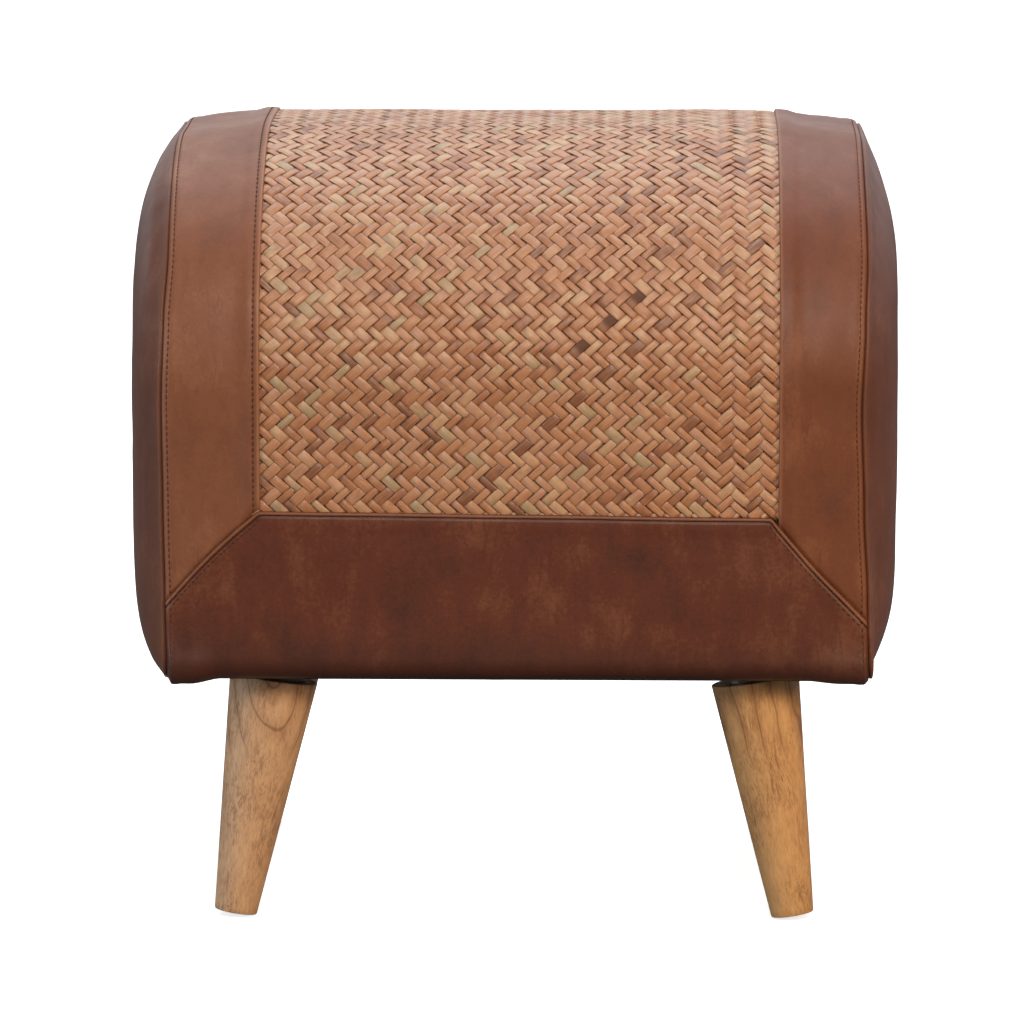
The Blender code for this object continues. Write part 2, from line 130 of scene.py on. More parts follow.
@dataclass
class Piece:
    """Points, faces and surface attributes of a piece, before it becomes an object."""

    name: str
    points: np.ndarray
    faces: list[list[int]]
    values: dict[str, np.ndarray] = field(default_factory=dict)
    uv: np.ndarray | None = None

    def build(self, finish: "Finish", body: str, *stands_for: str) -> bpy.types.Object:
        """Makes the object, dresses it and sets it on its body.

        Args:
            finish: The finish that dresses it.
            body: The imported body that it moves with.
            stands_for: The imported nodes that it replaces.

        Returns:
            The new object, at the origin.
        """
        mesh = bpy.data.meshes.new(self.name)
        mesh.from_pydata(self.points.reshape(-1, 3).tolist(), [], self.faces)
        for key, value in self.values.items():
            if value.ndim > 1 and value.shape[-1] == 3:
                mesh.attributes.new(key, "FLOAT_VECTOR", "POINT").data.foreach_set(
                    "vector", value.astype(np.float32).ravel())
            else:
                mesh.attributes.new(key, "FLOAT", "POINT").data.foreach_set(
                    "value", value.astype(np.float32).ravel())
        if self.uv is not None:
            corner = np.empty(len(mesh.loops), dtype=np.int32)
            mesh.loops.foreach_get("vertex_index", corner)
            layer = mesh.uv_layers.new(name="along")
            layer.data.foreach_set("uv", self.uv.reshape(-1, 2)[corner].astype(np.float32).ravel())
        mesh.shade_smooth()
        obj = bpy.data.objects.new(self.name, mesh)
        bpy.context.scene.collection.objects.link(obj)
        mesh.materials.append(finish.material())
        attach(obj, body)
        if stands_for:
            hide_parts(*stands_for)
        LOG.info("%s: %d points, %d faces, for %s", self.name, len(mesh.vertices), len(mesh.polygons),
                 ", ".join(stands_for) or "detail only")
        return obj


def thicken(obj: bpy.types.Object, wall: float) -> None:
    """Gives an open sheet a wall on its inner side."""
    shell = obj.modifiers.new("wall", "SOLIDIFY")
    shell.thickness = wall
    shell.offset = -1.0


# --------------------------------------------------------------------------- the shape of the body

@dataclass(frozen=True)
class Loaf:
    """The body's outer shape: an arch carried across X that pulls in towards its two end seams."""

    half_depth: float
    underside: float
    top: float
    seam_x: float
    panel_left: float
    panel_right: float
    end_x: float
    band_top_left: float
    band_top_right: float
    shoulder_r: float = 0.142
    corner_r: float = 0.014
    tuck: float = 0.030
    seam_drop: float = 0.006
    mitre_fall_left: float = 0.0565
    mitre_fall_right: float = 0.064
    mitre_inset: float = 0.0055
    mitre_bow: float = 0.0026
    crown_swell: float = 0.0022
    side_swell: float = 0.0016
    unevenness: float = 0.0005
    wander_at: tuple = (0.155, 0.205, 0.262, 0.320, 0.374, 0.412, 0.4745)
    wander_left: tuple = (-0.0012, -0.0009, -0.0002, 0.0003, -0.0011, -0.0030, -0.0020)
    wander_right: tuple = (0.0050, 0.0034, 0.0008, -0.0010, 0.0010, 0.0022, 0.0010)

    @classmethod
    def from_frame(cls) -> "Loaf":
        """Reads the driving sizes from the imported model."""
        panel_low, panel_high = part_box("woven_panel")
        band_low, band_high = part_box("front_band")
        _, end_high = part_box("right_end_cover")
        return cls(half_depth=panel_high[1], underside=band_low[2], top=panel_high[2], seam_x=band_high[0],
                   panel_left=panel_low[0], panel_right=panel_high[0], end_x=end_high[0],
                   band_top_left=band_high[2], band_top_right=band_high[2] - 0.003)

    @property
    def runs(self) -> np.ndarray:
        """Lengths along the half arch at the end of each run: under, corner, side, shoulder, crown."""
        return np.cumsum([0.0, self.tuck - self.corner_r, self.corner_r * math.pi / 2,
                          self.top - self.shoulder_r - self.underside - self.corner_r,
                          self.shoulder_r * math.pi / 2, self.half_depth - self.shoulder_r])

    @property
    def length(self) -> float:
        """Length of the whole arch, from the front tuck over the crown to the back tuck."""
        return 2.0 * self.runs[-1]

    def arch(self, s: np.ndarray) -> tuple[np.ndarray, np.ndarray, np.ndarray, np.ndarray]:
        """Point and outward normal at a distance along the arch: straight runs joined by arcs.

        Args:
            s: Distances in metres from the end of the front tuck.

        Returns:
            Arrays y, z, and the normal's y and z.
        """
        s = np.asarray(s, float)
        runs = self.runs
        near = np.minimum(s, self.length - s)
        side = np.where(s > self.length / 2, 1.0, -1.0)
        stretch = [near < runs[1], near < runs[2], near < runs[3], near < runs[4]]
        turn = np.select(stretch, [-math.pi / 2, (near - runs[1]) / self.corner_r - math.pi / 2, 0.0,
                                   (near - runs[3]) / self.shoulder_r], math.pi / 2)
        out, up = np.cos(turn), np.sin(turn)
        y = np.select(stretch, [self.half_depth - self.tuck + near,
                                self.half_depth - self.corner_r * (1 - out), self.half_depth,
                                self.half_depth - self.shoulder_r * (1 - out)], runs[5] - near)
        z = np.select(stretch, [self.underside, self.underside + self.corner_r * (1 + up),
                                self.underside + self.corner_r + near - runs[2],
                                self.top - self.shoulder_r * (1 - up)], self.top)
        return side * y, z, side * out, up

    def run_at_height(self, z: np.ndarray) -> np.ndarray:
        """Distance along the arch at which its upright front side reaches a height."""
        return self.runs[2] + np.asarray(z, float) - self.underside - self.corner_r

    def pull_in(self, x: np.ndarray) -> np.ndarray:
        """How far the arch pulls in at x: a quarter ellipse from the panel's edge to the seam."""
        reach = np.interp(np.abs(x), [-self.panel_left, self.seam_x], [0.0, 1.0])
        return self.seam_drop * (1.0 - np.sqrt(1.0 - reach ** 2 * 0.98))

    def wander(self, x: np.ndarray, z: np.ndarray) -> np.ndarray:
        """How far a hand-sewn end seam strays along X at each height, eased from one knot to the next."""
        step = np.interp(z, self.wander_at, np.arange(len(self.wander_at)))
        low = np.minimum(step.astype(int), len(self.wander_at) - 2)
        share = smoothstep(step - low)
        left, right = np.array(self.wander_left), np.array(self.wander_right)
        stray = np.where(x < 0, -1.0, 1.0) * np.where(x < 0, left[low] * (1 - share) + left[low + 1] * share,
                                                      right[low] * (1 - share) + right[low + 1] * share)
        return stray * smoothstep(np.abs(x), self.seam_x - 0.035, self.seam_x)

    def swell(self, x: np.ndarray, s: np.ndarray) -> np.ndarray:
        """How far the padding pushes the cover out: a low dome on the crown and one on each upright side."""
        runs = self.runs
        near = np.minimum(s, self.length - s)
        crown = smoothstep(near, runs[3] + 0.03, runs[5]) * self.crown_swell
        side = np.sin(np.clip((near - runs[2]) / (runs[3] - runs[2]), 0.0, 1.0) * math.pi) ** 2
        fade = 1.0 - smoothstep(np.abs(x), self.seam_x - 0.067, self.seam_x)
        uneven = ripples(x, s, 0.09, 11) * self.unevenness * smoothstep(near, runs[2], runs[2] + 0.04)
        return (crown + side * self.side_swell + uneven) * fade

    def place(self, x: np.ndarray, s: np.ndarray, height: np.ndarray) -> np.ndarray:
        """Points at a height above the cover's face: arch point plus normal times height, less the pull-in.

        Args:
            x: Positions across the body.
            s: Distances along the arch.
            height: Heights above the face, which may be negative.

        Returns:
            An array of points with a last axis of 3.
        """
        x, s, height = np.broadcast_arrays(x, s, height)
        y, z, ny, nz = self.arch(s)
        drop = self.pull_in(x)
        rise = height + self.swell(x, s)
        return np.stack([x + self.wander(x, z), y + ny * (rise - drop),
                         z + nz * rise - np.maximum(nz, 0.0) * drop], axis=-1)

    def band_edge(self, x: np.ndarray) -> np.ndarray:
        """Distance along the arch, from the tuck, of the band's top edge with its two mitres."""
        heights = np.interp(x, [-self.seam_x, self.panel_left, self.mitre_right, self.seam_x],
                            [self.band_top_left - self.mitre_fall_left, self.band_top_left,
                             self.band_top_right, self.band_top_right - self.mitre_fall_right])
        along = np.interp(x, [-self.seam_x, self.panel_left], [0.0, 1.0])
        return self.run_at_height(heights + self.mitre_bow * 4.0 * along * (1.0 - along))

    @property
    def mitre_right(self) -> float:
        """Where the right mitre leaves the band's level edge, a little inside the strip's fold."""
        return self.panel_right - self.mitre_inset

    def band_slope(self, x: np.ndarray) -> np.ndarray:
        """Cosine of the band edge's slope at x, eased round the two corners."""
        left = math.cos(math.atan2(self.mitre_fall_left, self.seam_x + self.panel_left))
        right = math.cos(math.atan2(self.mitre_fall_right, self.seam_x - self.mitre_right))
        ease = 0.003
        slope = left + (1.0 - left) * smoothstep(x, self.panel_left - ease, self.panel_left + ease)
        return slope + (right - 1.0) * smoothstep(x, self.mitre_right - ease, self.mitre_right + ease)


# --------------------------------------------------------------------------- node trees

class Graph:
    """Adds and joins nodes in one node tree."""

    def __init__(self, tree: bpy.types.NodeTree) -> None:
        """Wraps a tree, which the graph adds to."""
        self.tree = tree

    def add(self, kind: str, inputs: dict | None = None, **settings: object) -> bpy.types.Node:
        """Adds a node.

        Args:
            kind: Blender's name of the node type.
            inputs: Values or output sockets for its inputs, by name or number.
            settings: Properties of the node itself.

        Returns:
            The node.
        """
        node = self.tree.nodes.new(kind)
        for key, value in settings.items():
            setattr(node, key, value)
        for key, value in (inputs or {}).items():
            if isinstance(value, bpy.types.NodeSocket):
                self.tree.links.new(value, node.inputs[key])
            else:
                node.inputs[key].default_value = value
        return node

    def math(self, operation: str, a: object, b: object = 0.0, clamp: bool = False) -> bpy.types.NodeSocket:
        """One arithmetic step on two numbers or sockets."""
        return self.add("ShaderNodeMath", {0: a, 1: b}, operation=operation, use_clamp=clamp).outputs[0]

    def span(self, value: object, low: float, high: float, to_low: float = 0.0,
             to_high: float = 1.0) -> bpy.types.NodeSocket:
        """Maps a value from one range to another and keeps it inside."""
        return self.add("ShaderNodeMapRange", {0: value, 1: low, 2: high, 3: to_low, 4: to_high}).outputs[0]

    def mix(self, share: object, a: object, b: object, blend: str = "MIX") -> bpy.types.NodeSocket:
        """Mixes two colours."""
        node = self.add("ShaderNodeMix", data_type="RGBA", blend_type=blend)
        for key, value in ((0, share), (6, a), (7, b)):
            if isinstance(value, bpy.types.NodeSocket):
                self.tree.links.new(value, node.inputs[key])
            else:
                node.inputs[key].default_value = value
        return node.outputs[2]

    def noise(self, vector: object, scale: float, detail: float = 3.0,
              roughness: float = 0.5) -> bpy.types.NodeSocket:
        """Fractal noise read at a vector, scale in features per metre."""
        return self.add("ShaderNodeTexNoise", {"Vector": vector, "Scale": scale, "Detail": detail,
                                               "Roughness": roughness}).outputs["Fac"]

    def stretch(self, vector: object, scale: tuple, turn: tuple = (0.0, 0.0, 0.0),
                shift: tuple = (0.0, 0.0, 0.0)) -> bpy.types.NodeSocket:
        """A vector turned, moved and scaled along each axis."""
        return self.add("ShaderNodeMapping", {"Vector": vector, "Scale": scale, "Rotation": turn,
                                              "Location": shift}).outputs[0]


def shader_group(name: str, inputs: dict[str, tuple[str, object]],
                 outputs: dict[str, str]) -> tuple[bpy.types.NodeTree, Graph, bpy.types.Node, bpy.types.Node]:
    """Starts a shader node group with named sockets.

    Args:
        name: The group's name.
        inputs: Socket type and default value of each input.
        outputs: Socket type of each output.

    Returns:
        The group, its graph, its input node and its output node.
    """
    tree = bpy.data.node_groups.new(name, "ShaderNodeTree")
    for key, (kind, value) in inputs.items():
        tree.interface.new_socket(key, in_out="INPUT", socket_type=kind).default_value = value
    for key, kind in outputs.items():
        tree.interface.new_socket(key, in_out="OUTPUT", socket_type=kind)
    graph = Graph(tree)
    return tree, graph, graph.add("NodeGroupInput"), graph.add("NodeGroupOutput")


FLOAT = "NodeSocketFloat"
COLOUR = "NodeSocketColor"
VECTOR = "NodeSocketVector"


class Groups:
    """The shader groups that several finishes share, each built once when first asked for."""

    _made: dict[str, bpy.types.NodeTree] = {}

    @classmethod
    def get(cls, name: str) -> bpy.types.NodeTree:
        """The group of that name."""
        if name not in cls._made:
            cls._made[name] = getattr(cls, f"_{name}")()
        return cls._made[name]

    @staticmethod
    def _leather() -> bpy.types.NodeTree:
        """Waxed hide: cloudy dye, fine pebble grain, soft creases darkened as painted shade, flecks, and a
        wear_and_shade input: ridges lightened by wear and painted highlight, seams and hollows darkened by
        painted shade.
        """
        tree, g, given, out = shader_group(
            "waxed_hide",
            {"Base": (COLOUR, (0.2, 0.09, 0.05, 1)), "Dark": (COLOUR, (0.1, 0.04, 0.02, 1)),
             "Worn": (COLOUR, (0.35, 0.18, 0.1, 1)), "Vector": (VECTOR, (0, 0, 0)), "Wear_and_shade": (FLOAT, 0.0),
             "Mottle": (FLOAT, 1.0), "Roughness": (FLOAT, 0.42)},
            {"Color": COLOUR, "Roughness": FLOAT, "Height": FLOAT})
        place = given.outputs["Vector"]
        clouds = g.noise(place, 14.0, 5.0, 0.62)
        blots = g.noise(g.stretch(place, (1, 1, 0.45), shift=(3.1, 1.7, 0.3)), 70.0, 4.0, 0.6)
        fine = g.noise(place, 420.0, 3.0, 0.6)
        cells = g.add("ShaderNodeTexVoronoi", {"Vector": place, "Scale": 1150.0, "Randomness": 1.0},
                      feature="F1").outputs["Distance"]
        crease_bed = g.noise(g.stretch(place, (1, 1, 0.16), shift=(0.7, 0.2, 0.9)), 85.0, 2.0, 0.55)
        crease = g.math("SUBTRACT", 1.0, g.span(g.math("ABSOLUTE", g.math("SUBTRACT", crease_bed, 0.5)),
                                                0.0, 0.022))
        crease = g.math("MULTIPLY", crease, g.span(clouds, 0.45, 0.62))
        fleck_bed = g.noise(g.stretch(place, (1, 1, 1), shift=(8.2, 4.4, 2.6)), 900.0, 2.0, 0.5)
        flecks = g.span(fleck_bed, 0.70, 0.76)
        shade = g.math("ADD", g.math("MULTIPLY", g.span(clouds, 0.32, 0.68, -1, 1), 0.5),
                       g.math("MULTIPLY", g.span(blots, 0.3, 0.7, -1, 1), 0.3))
        shade = g.math("ADD", shade, g.math("MULTIPLY", g.span(fine, 0.3, 0.7, -1, 1), 0.2))
        shade = g.math("MULTIPLY", shade, given.outputs["Mottle"])
        colour = g.mix(g.span(shade, -1.2, 0.0, 0.85, 0.0), given.outputs["Base"], given.outputs["Dark"])
        colour = g.mix(g.span(shade, 0.1, 1.3, 0.0, 0.6), colour, given.outputs["Worn"])
        # Painted shade: the crease lines are darkened towards Dark, as if shade lay in them.
        colour = g.mix(g.math("MULTIPLY", crease, 0.35), colour, given.outputs["Dark"])
        colour = g.mix(g.math("MULTIPLY", flecks, 0.35), colour, given.outputs["Worn"])
        # wear_and_shade above 0 lightens towards Worn: edge wear on folds and ridges, partly painted
        # highlight. Below 0 it darkens towards Dark: painted shade in seams, grooves, gaps and under the
        # body.
        colour = g.mix(g.span(given.outputs["Wear_and_shade"], 0.0, 1.0, 0.0, 0.75), colour, given.outputs["Worn"])
        colour = g.mix(g.span(given.outputs["Wear_and_shade"], 0.0, -1.0, 0.0, 0.9), colour, given.outputs["Dark"])
        rough = g.math("ADD", given.outputs["Roughness"], g.math("MULTIPLY", shade, -0.06))
        rough = g.math("ADD", rough, g.math("MULTIPLY", fine, 0.10))
        height = g.math("ADD", g.math("MULTIPLY", cells, 0.45), g.math("MULTIPLY", fine, 0.5))
        height = g.math("SUBTRACT", height, g.math("MULTIPLY", crease, 0.7))
        height = g.math("ADD", height, g.math("MULTIPLY", blots, 1.6))
        for key, value in (("Color", colour), ("Roughness", rough), ("Height", height)):
            g.tree.links.new(value, out.inputs[key])
        return tree

    @staticmethod
    def _wood() -> bpy.types.NodeTree:
        """Sawn or turned wood: thin ring lines round a leaning pith, curly figure and short dark pores."""
        tree, g, given, out = shader_group(
            "wood_figure",
            {"Light": (COLOUR, (0.5, 0.3, 0.16, 1)), "Mid": (COLOUR, (0.4, 0.21, 0.1, 1)),
             "Pore": (COLOUR, (0.14, 0.06, 0.03, 1)), "Vector": (VECTOR, (0, 0, 0)),
             "Rings": (FLOAT, 1.0), "Pores": (FLOAT, 1.0), "Roughness": (FLOAT, 0.5)},
            {"Color": COLOUR, "Roughness": FLOAT, "Height": FLOAT})
        place = given.outputs["Vector"]
        bend = g.add("ShaderNodeTexNoise", {"Vector": g.stretch(place, (1, 1, 0.5)), "Scale": 34.0,
                                            "Detail": 2.0}).outputs["Color"]
        bent = g.add("ShaderNodeMix", {}, data_type="VECTOR")
        bent.inputs[0].default_value = 0.010
        g.tree.links.new(place, bent.inputs[4])
        g.tree.links.new(bend, bent.inputs[5])
        rings_at = g.stretch(bent.outputs[1], (1, 1, 1), turn=(0.42, 0.16, 0.0), shift=(0.010, 0.022, 0.0))
        rings = g.add("ShaderNodeTexWave", {"Vector": rings_at, "Scale": 27.0, "Distortion": 1.2,
                                            "Detail": 2.0, "Detail Scale": 1.5},
                      wave_type="RINGS", rings_direction="Z").outputs["Fac"]
        height_up = g.add("ShaderNodeSeparateXYZ", {0: place}).outputs["Z"]
        clear = g.math("MULTIPLY", given.outputs["Rings"], g.span(height_up, -0.050, -0.034, 0.10, 1.0))
        line = g.math("MULTIPLY", g.span(rings, 0.965, 0.998), clear)
        broad = g.math("MULTIPLY", g.span(rings, 0.1, 0.9), clear)
        curl_at = g.stretch(bent.outputs[1], (1, 1, 0.22), turn=(0.30, -0.18, 0.0))
        curl = g.noise(curl_at, 520.0, 3.0, 0.62)
        patch = g.noise(g.stretch(place, (1, 1, 0.5)), 42.0, 3.0, 0.55)
        pore_bed = g.noise(g.stretch(bent.outputs[1], (1, 1, 0.14)), 1500.0, 2.0, 0.6)
        ticks = g.math("MULTIPLY", g.span(pore_bed, 0.53, 0.64), g.span(patch, 0.38, 0.60, 0.35, 1.0))
        streaks = g.math("MULTIPLY", g.span(curl, 0.52, 0.62), g.span(patch, 0.44, 0.58))
        tone = g.math("ADD", g.math("MULTIPLY", broad, 0.30),
                      g.math("MULTIPLY", g.span(curl, 0.3, 0.7), 0.40))
        tone = g.math("ADD", tone, g.math("MULTIPLY", g.span(patch, 0.3, 0.7), 0.45))
        colour = g.mix(g.span(tone, 0.15, 1.0), given.outputs["Light"], given.outputs["Mid"])
        pores = g.math("MULTIPLY", g.math("MAXIMUM", ticks, g.math("MULTIPLY", streaks, 0.8)),
                       given.outputs["Pores"])
        colour = g.mix(g.math("MULTIPLY", pores, 0.55), colour, given.outputs["Pore"])
        colour = g.mix(g.math("MULTIPLY", line, 0.50), colour, given.outputs["Pore"])
        rough = g.math("ADD", given.outputs["Roughness"], g.math("MULTIPLY", pores, 0.15))
        height = g.math("SUBTRACT", g.math("MULTIPLY", curl, 0.4), pores)
        for key, value in (("Color", colour), ("Roughness", rough), ("Height", height)):
            g.tree.links.new(value, out.inputs[key])
        return tree

    @staticmethod
    def _cloth() -> bpy.types.NodeTree:
        """Plain cloth: crossed threads from two waves, a little soiling and loose fibres."""
        tree, g, given, out = shader_group(
            "plain_cloth",
            {"Base": (COLOUR, (0.6, 0.55, 0.45, 1)), "Dark": (COLOUR, (0.3, 0.26, 0.2, 1)),
             "Vector": (VECTOR, (0, 0, 0)), "Threads": (FLOAT, 900.0)},
            {"Color": COLOUR, "Height": FLOAT})
        place = given.outputs["Vector"]
        warp = g.add("ShaderNodeTexWave", {"Vector": place, "Distortion": 0.6, "Detail": 1.0},
                     wave_type="BANDS", bands_direction="X")
        weft = g.add("ShaderNodeTexWave", {"Vector": place, "Distortion": 0.6, "Detail": 1.0},
                     wave_type="BANDS", bands_direction="Y")
        for wave in (warp, weft):
            g.tree.links.new(given.outputs["Threads"], wave.inputs["Scale"])
        threads = g.math("MULTIPLY", warp.outputs["Fac"], weft.outputs["Fac"])
        soil = g.noise(place, 25.0, 4.0, 0.6)
        fibre = g.noise(place, 700.0, 3.0, 0.7)
        shade = g.math("ADD", g.math("MULTIPLY", threads, 0.5), g.math("MULTIPLY", fibre, 0.5))
        colour = g.mix(g.span(shade, 0.1, 0.7), given.outputs["Dark"], given.outputs["Base"])
        colour = g.mix(g.span(soil, 0.45, 0.75, 0.0, 0.35), colour, given.outputs["Dark"])
        for key, value in (("Color", colour), ("Height", g.math("ADD", threads, fibre))):
            g.tree.links.new(value, out.inputs[key])
        return tree


# --------------------------------------------------------------------------- finishes

@dataclass(frozen=True)
class Finish:
    """A finish: the record's slot that it belongs to and a name for its material."""

    name: str
    slot: str
    _made: ClassVar[dict[str, bpy.types.Material]] = {}

    def material(self) -> bpy.types.Material:
        """The finish's material, made when first asked for."""
        if self.name not in self._made:
            made = bpy.data.materials.new(self.name)
            made.use_nodes = True
            self.dress(Graph(made.node_tree), made.node_tree.nodes["Principled BSDF"])
            self._made[self.name] = made
        return self._made[self.name]

    def dress(self, g: Graph, shader: bpy.types.Node) -> None:
        """Builds the nodes that feed the shader."""
        raise NotImplementedError

    @staticmethod
    def bump(g: Graph, shader: bpy.types.Node, height: bpy.types.NodeSocket, depth: float,
             strength: float = 1.0) -> None:
        """Feeds a height to the shader's normal.

        Args:
            g: The material's graph.
            shader: The Principled shader.
            height: Height in units of depth.
            depth: Depth of one unit of height, in metres.
            strength: Share of the bump that shows.
        """
        bump = g.add("ShaderNodeBump", {"Strength": strength, "Distance": depth, "Height": height})
        g.tree.links.new(bump.outputs["Normal"], shader.inputs["Normal"])


@dataclass(frozen=True)
class LeatherFinish(Finish):
    """Waxed hide in one dye."""

    base: tuple = (0.2, 0.09, 0.05, 1.0)
    dark: tuple = (0.1, 0.04, 0.02, 1.0)
    worn: tuple = (0.35, 0.18, 0.1, 1.0)
    roughness: float = 0.42
    mottle: float = 1.0

    def dress(self, g: Graph, shader: bpy.types.Node) -> None:
        """Hide group on object coordinates, lightened and darkened where the piece's wear_and_shade value
        says: edge wear with painted highlight, and painted shade.
        """
        place = g.add("ShaderNodeTexCoord").outputs["Object"]
        wear_and_shade = g.add("ShaderNodeAttribute", attribute_name="wear_and_shade").outputs["Fac"]
        hide = g.add("ShaderNodeGroup", node_tree=Groups.get("leather"))
        for key, value in (("Base", self.base), ("Dark", self.dark), ("Worn", self.worn),
                           ("Roughness", self.roughness), ("Mottle", self.mottle)):
            hide.inputs[key].default_value = value
        g.tree.links.new(place, hide.inputs["Vector"])
        g.tree.links.new(wear_and_shade, hide.inputs["Wear_and_shade"])
        g.tree.links.new(hide.outputs["Color"], shader.inputs["Base Color"])
        g.tree.links.new(hide.outputs["Roughness"], shader.inputs["Roughness"])
        shader.inputs["Specular IOR Level"].default_value = 0.36
        self.bump(g, shader, hide.outputs["Height"], 0.00012, 0.7)


@dataclass(frozen=True)
class StrandFinish(Finish):
    """Flat dried stems: each its own tone, with long fibres, dull bands, and painted shade where each stem
    dives under its neighbours.
    """

    shades: tuple = ()

    def dress(self, g: Graph, shader: bpy.types.Node) -> None:
        """Colour from the strand's tone, fibres along its length from its UV map."""
        tone = g.add("ShaderNodeAttribute", attribute_name="tone").outputs["Fac"]
        low = g.add("ShaderNodeAttribute", attribute_name="low").outputs["Fac"]
        char = g.add("ShaderNodeAttribute", attribute_name="char").outputs["Fac"]
        along = g.add("ShaderNodeUVMap", uv_map="along").outputs[0]
        ramp = g.add("ShaderNodeValToRGB")
        stops = ramp.color_ramp.elements
        while len(stops) < len(self.shades):
            stops.new(0.5)
        for stop, (at, shade) in zip(stops, self.shades):
            stop.position = at
            stop.color = shade
        drift = g.noise(g.stretch(along, (1, 1, 1)), 52.0, 3.0, 0.6)
        fibre = g.noise(g.stretch(along, (1.0, 0.035, 1)), 3600.0, 3.0, 0.65)
        streak = g.noise(g.stretch(along, (1.0, 0.03, 1), shift=(5.0, 0, 0)), 1100.0, 2.0, 0.6)
        at = g.math("ADD", tone, g.math("MULTIPLY", g.math("SUBTRACT", drift, 0.5), 1.3), clamp=True)
        g.tree.links.new(at, ramp.inputs[0])
        blot = g.noise(g.stretch(along, (1, 0.5, 1), shift=(9.0, 3.0, 0)), 130.0, 2.0, 0.6)
        colour = g.mix(g.span(fibre, 0.38, 0.70, 0.0, 0.36), ramp.outputs[0], (0.24, 0.088, 0.030, 1.0))
        colour = g.mix(g.span(streak, 0.54, 0.72, 0.0, 0.45), colour, (0.70, 0.40, 0.21, 1.0))
        colour = g.mix(g.span(blot, 0.56, 0.74, 0.0, 0.50), colour, (0.26, 0.092, 0.034, 1.0))
        # Painted shade: the 'low' value darkens the stem where it dives under a crossing stem.
        colour = g.mix(g.math("MULTIPLY", low, 0.60), colour, (0.13, 0.044, 0.017, 1.0))
        colour = g.mix(g.math("MULTIPLY", char, 0.85), colour, (0.060, 0.018, 0.009, 1.0))
        g.tree.links.new(colour, shader.inputs["Base Color"])
        rough = g.math("ADD", g.span(fibre, 0.3, 0.7, 0.28, 0.46), g.math("MULTIPLY", char, 0.5))
        g.tree.links.new(rough, shader.inputs["Roughness"])
        shader.inputs["Specular IOR Level"].default_value = 0.72
        self.bump(g, shader, g.math("ADD", fibre, g.math("MULTIPLY", streak, 1.4)), 0.00022, 0.8)


@dataclass(frozen=True)
class WoodFinish(Finish):
    """Wood with rings and pores, on the piece's own grain coordinates or on the object's."""

    light: tuple = (0.5, 0.3, 0.16, 1.0)
    mid: tuple = (0.4, 0.21, 0.1, 1.0)
    pore: tuple = (0.14, 0.06, 0.03, 1.0)
    rings: float = 1.0
    pores: float = 1.0
    roughness: float = 0.5
    own_grain: bool = False

    def dress(self, g: Graph, shader: bpy.types.Node) -> None:
        """Wood group with this wood's colours."""
        if self.own_grain:
            place = g.add("ShaderNodeAttribute", attribute_name="grain").outputs["Vector"]
        else:
            turned = g.add("ShaderNodeTexCoord").outputs["Object"]
            place = g.stretch(turned, (1, 1, 1), turn=(0.0, math.pi / 2, 0.0))
        wood = g.add("ShaderNodeGroup", node_tree=Groups.get("wood"))
        for key, value in (("Light", self.light), ("Mid", self.mid), ("Pore", self.pore),
                           ("Rings", self.rings), ("Pores", self.pores), ("Roughness", self.roughness)):
            wood.inputs[key].default_value = value
        g.tree.links.new(place, wood.inputs["Vector"])
        g.tree.links.new(wood.outputs["Color"], shader.inputs["Base Color"])
        g.tree.links.new(wood.outputs["Roughness"], shader.inputs["Roughness"])
        self.bump(g, shader, wood.outputs["Height"], 0.00012, 0.6)


@dataclass(frozen=True)
class ClothFinish(Finish):
    """Plain woven or bonded cloth."""

    base: tuple = (0.6, 0.55, 0.45, 1.0)
    dark: tuple = (0.3, 0.26, 0.2, 1.0)
    threads: float = 900.0

    def dress(self, g: Graph, shader: bpy.types.Node) -> None:
        """Cloth group on object coordinates."""
        cloth = g.add("ShaderNodeGroup", node_tree=Groups.get("cloth"))
        for key, value in (("Base", self.base), ("Dark", self.dark), ("Threads", self.threads)):
            cloth.inputs[key].default_value = value
        g.tree.links.new(g.add("ShaderNodeTexCoord").outputs["Object"], cloth.inputs["Vector"])
        g.tree.links.new(cloth.outputs["Color"], shader.inputs["Base Color"])
        shader.inputs["Roughness"].default_value = 0.9
        shader.inputs["Sheen Weight"].default_value = 0.15
        self.bump(g, shader, cloth.outputs["Height"], 0.0001, 0.8)


@dataclass(frozen=True)
class FoamFinish(Finish):
    """Open-cell foam."""

    def dress(self, g: Graph, shader: bpy.types.Node) -> None:
        """Cells from a Voronoi pattern, pale walls and darker pits."""
        place = g.add("ShaderNodeTexCoord").outputs["Object"]
        cells = g.add("ShaderNodeTexVoronoi", {"Vector": place, "Scale": 900.0}).outputs["Distance"]
        tint = g.noise(place, 20.0, 3.0)
        colour = g.mix(g.span(cells, 0.2, 0.9), (0.80, 0.76, 0.62, 1), (0.45, 0.40, 0.27, 1))
        colour = g.mix(g.span(tint, 0.4, 0.8, 0.0, 0.3), colour, (0.62, 0.50, 0.28, 1))
        g.tree.links.new(colour, shader.inputs["Base Color"])
        shader.inputs["Roughness"].default_value = 0.95
        self.bump(g, shader, cells, 0.0005, 0.7)


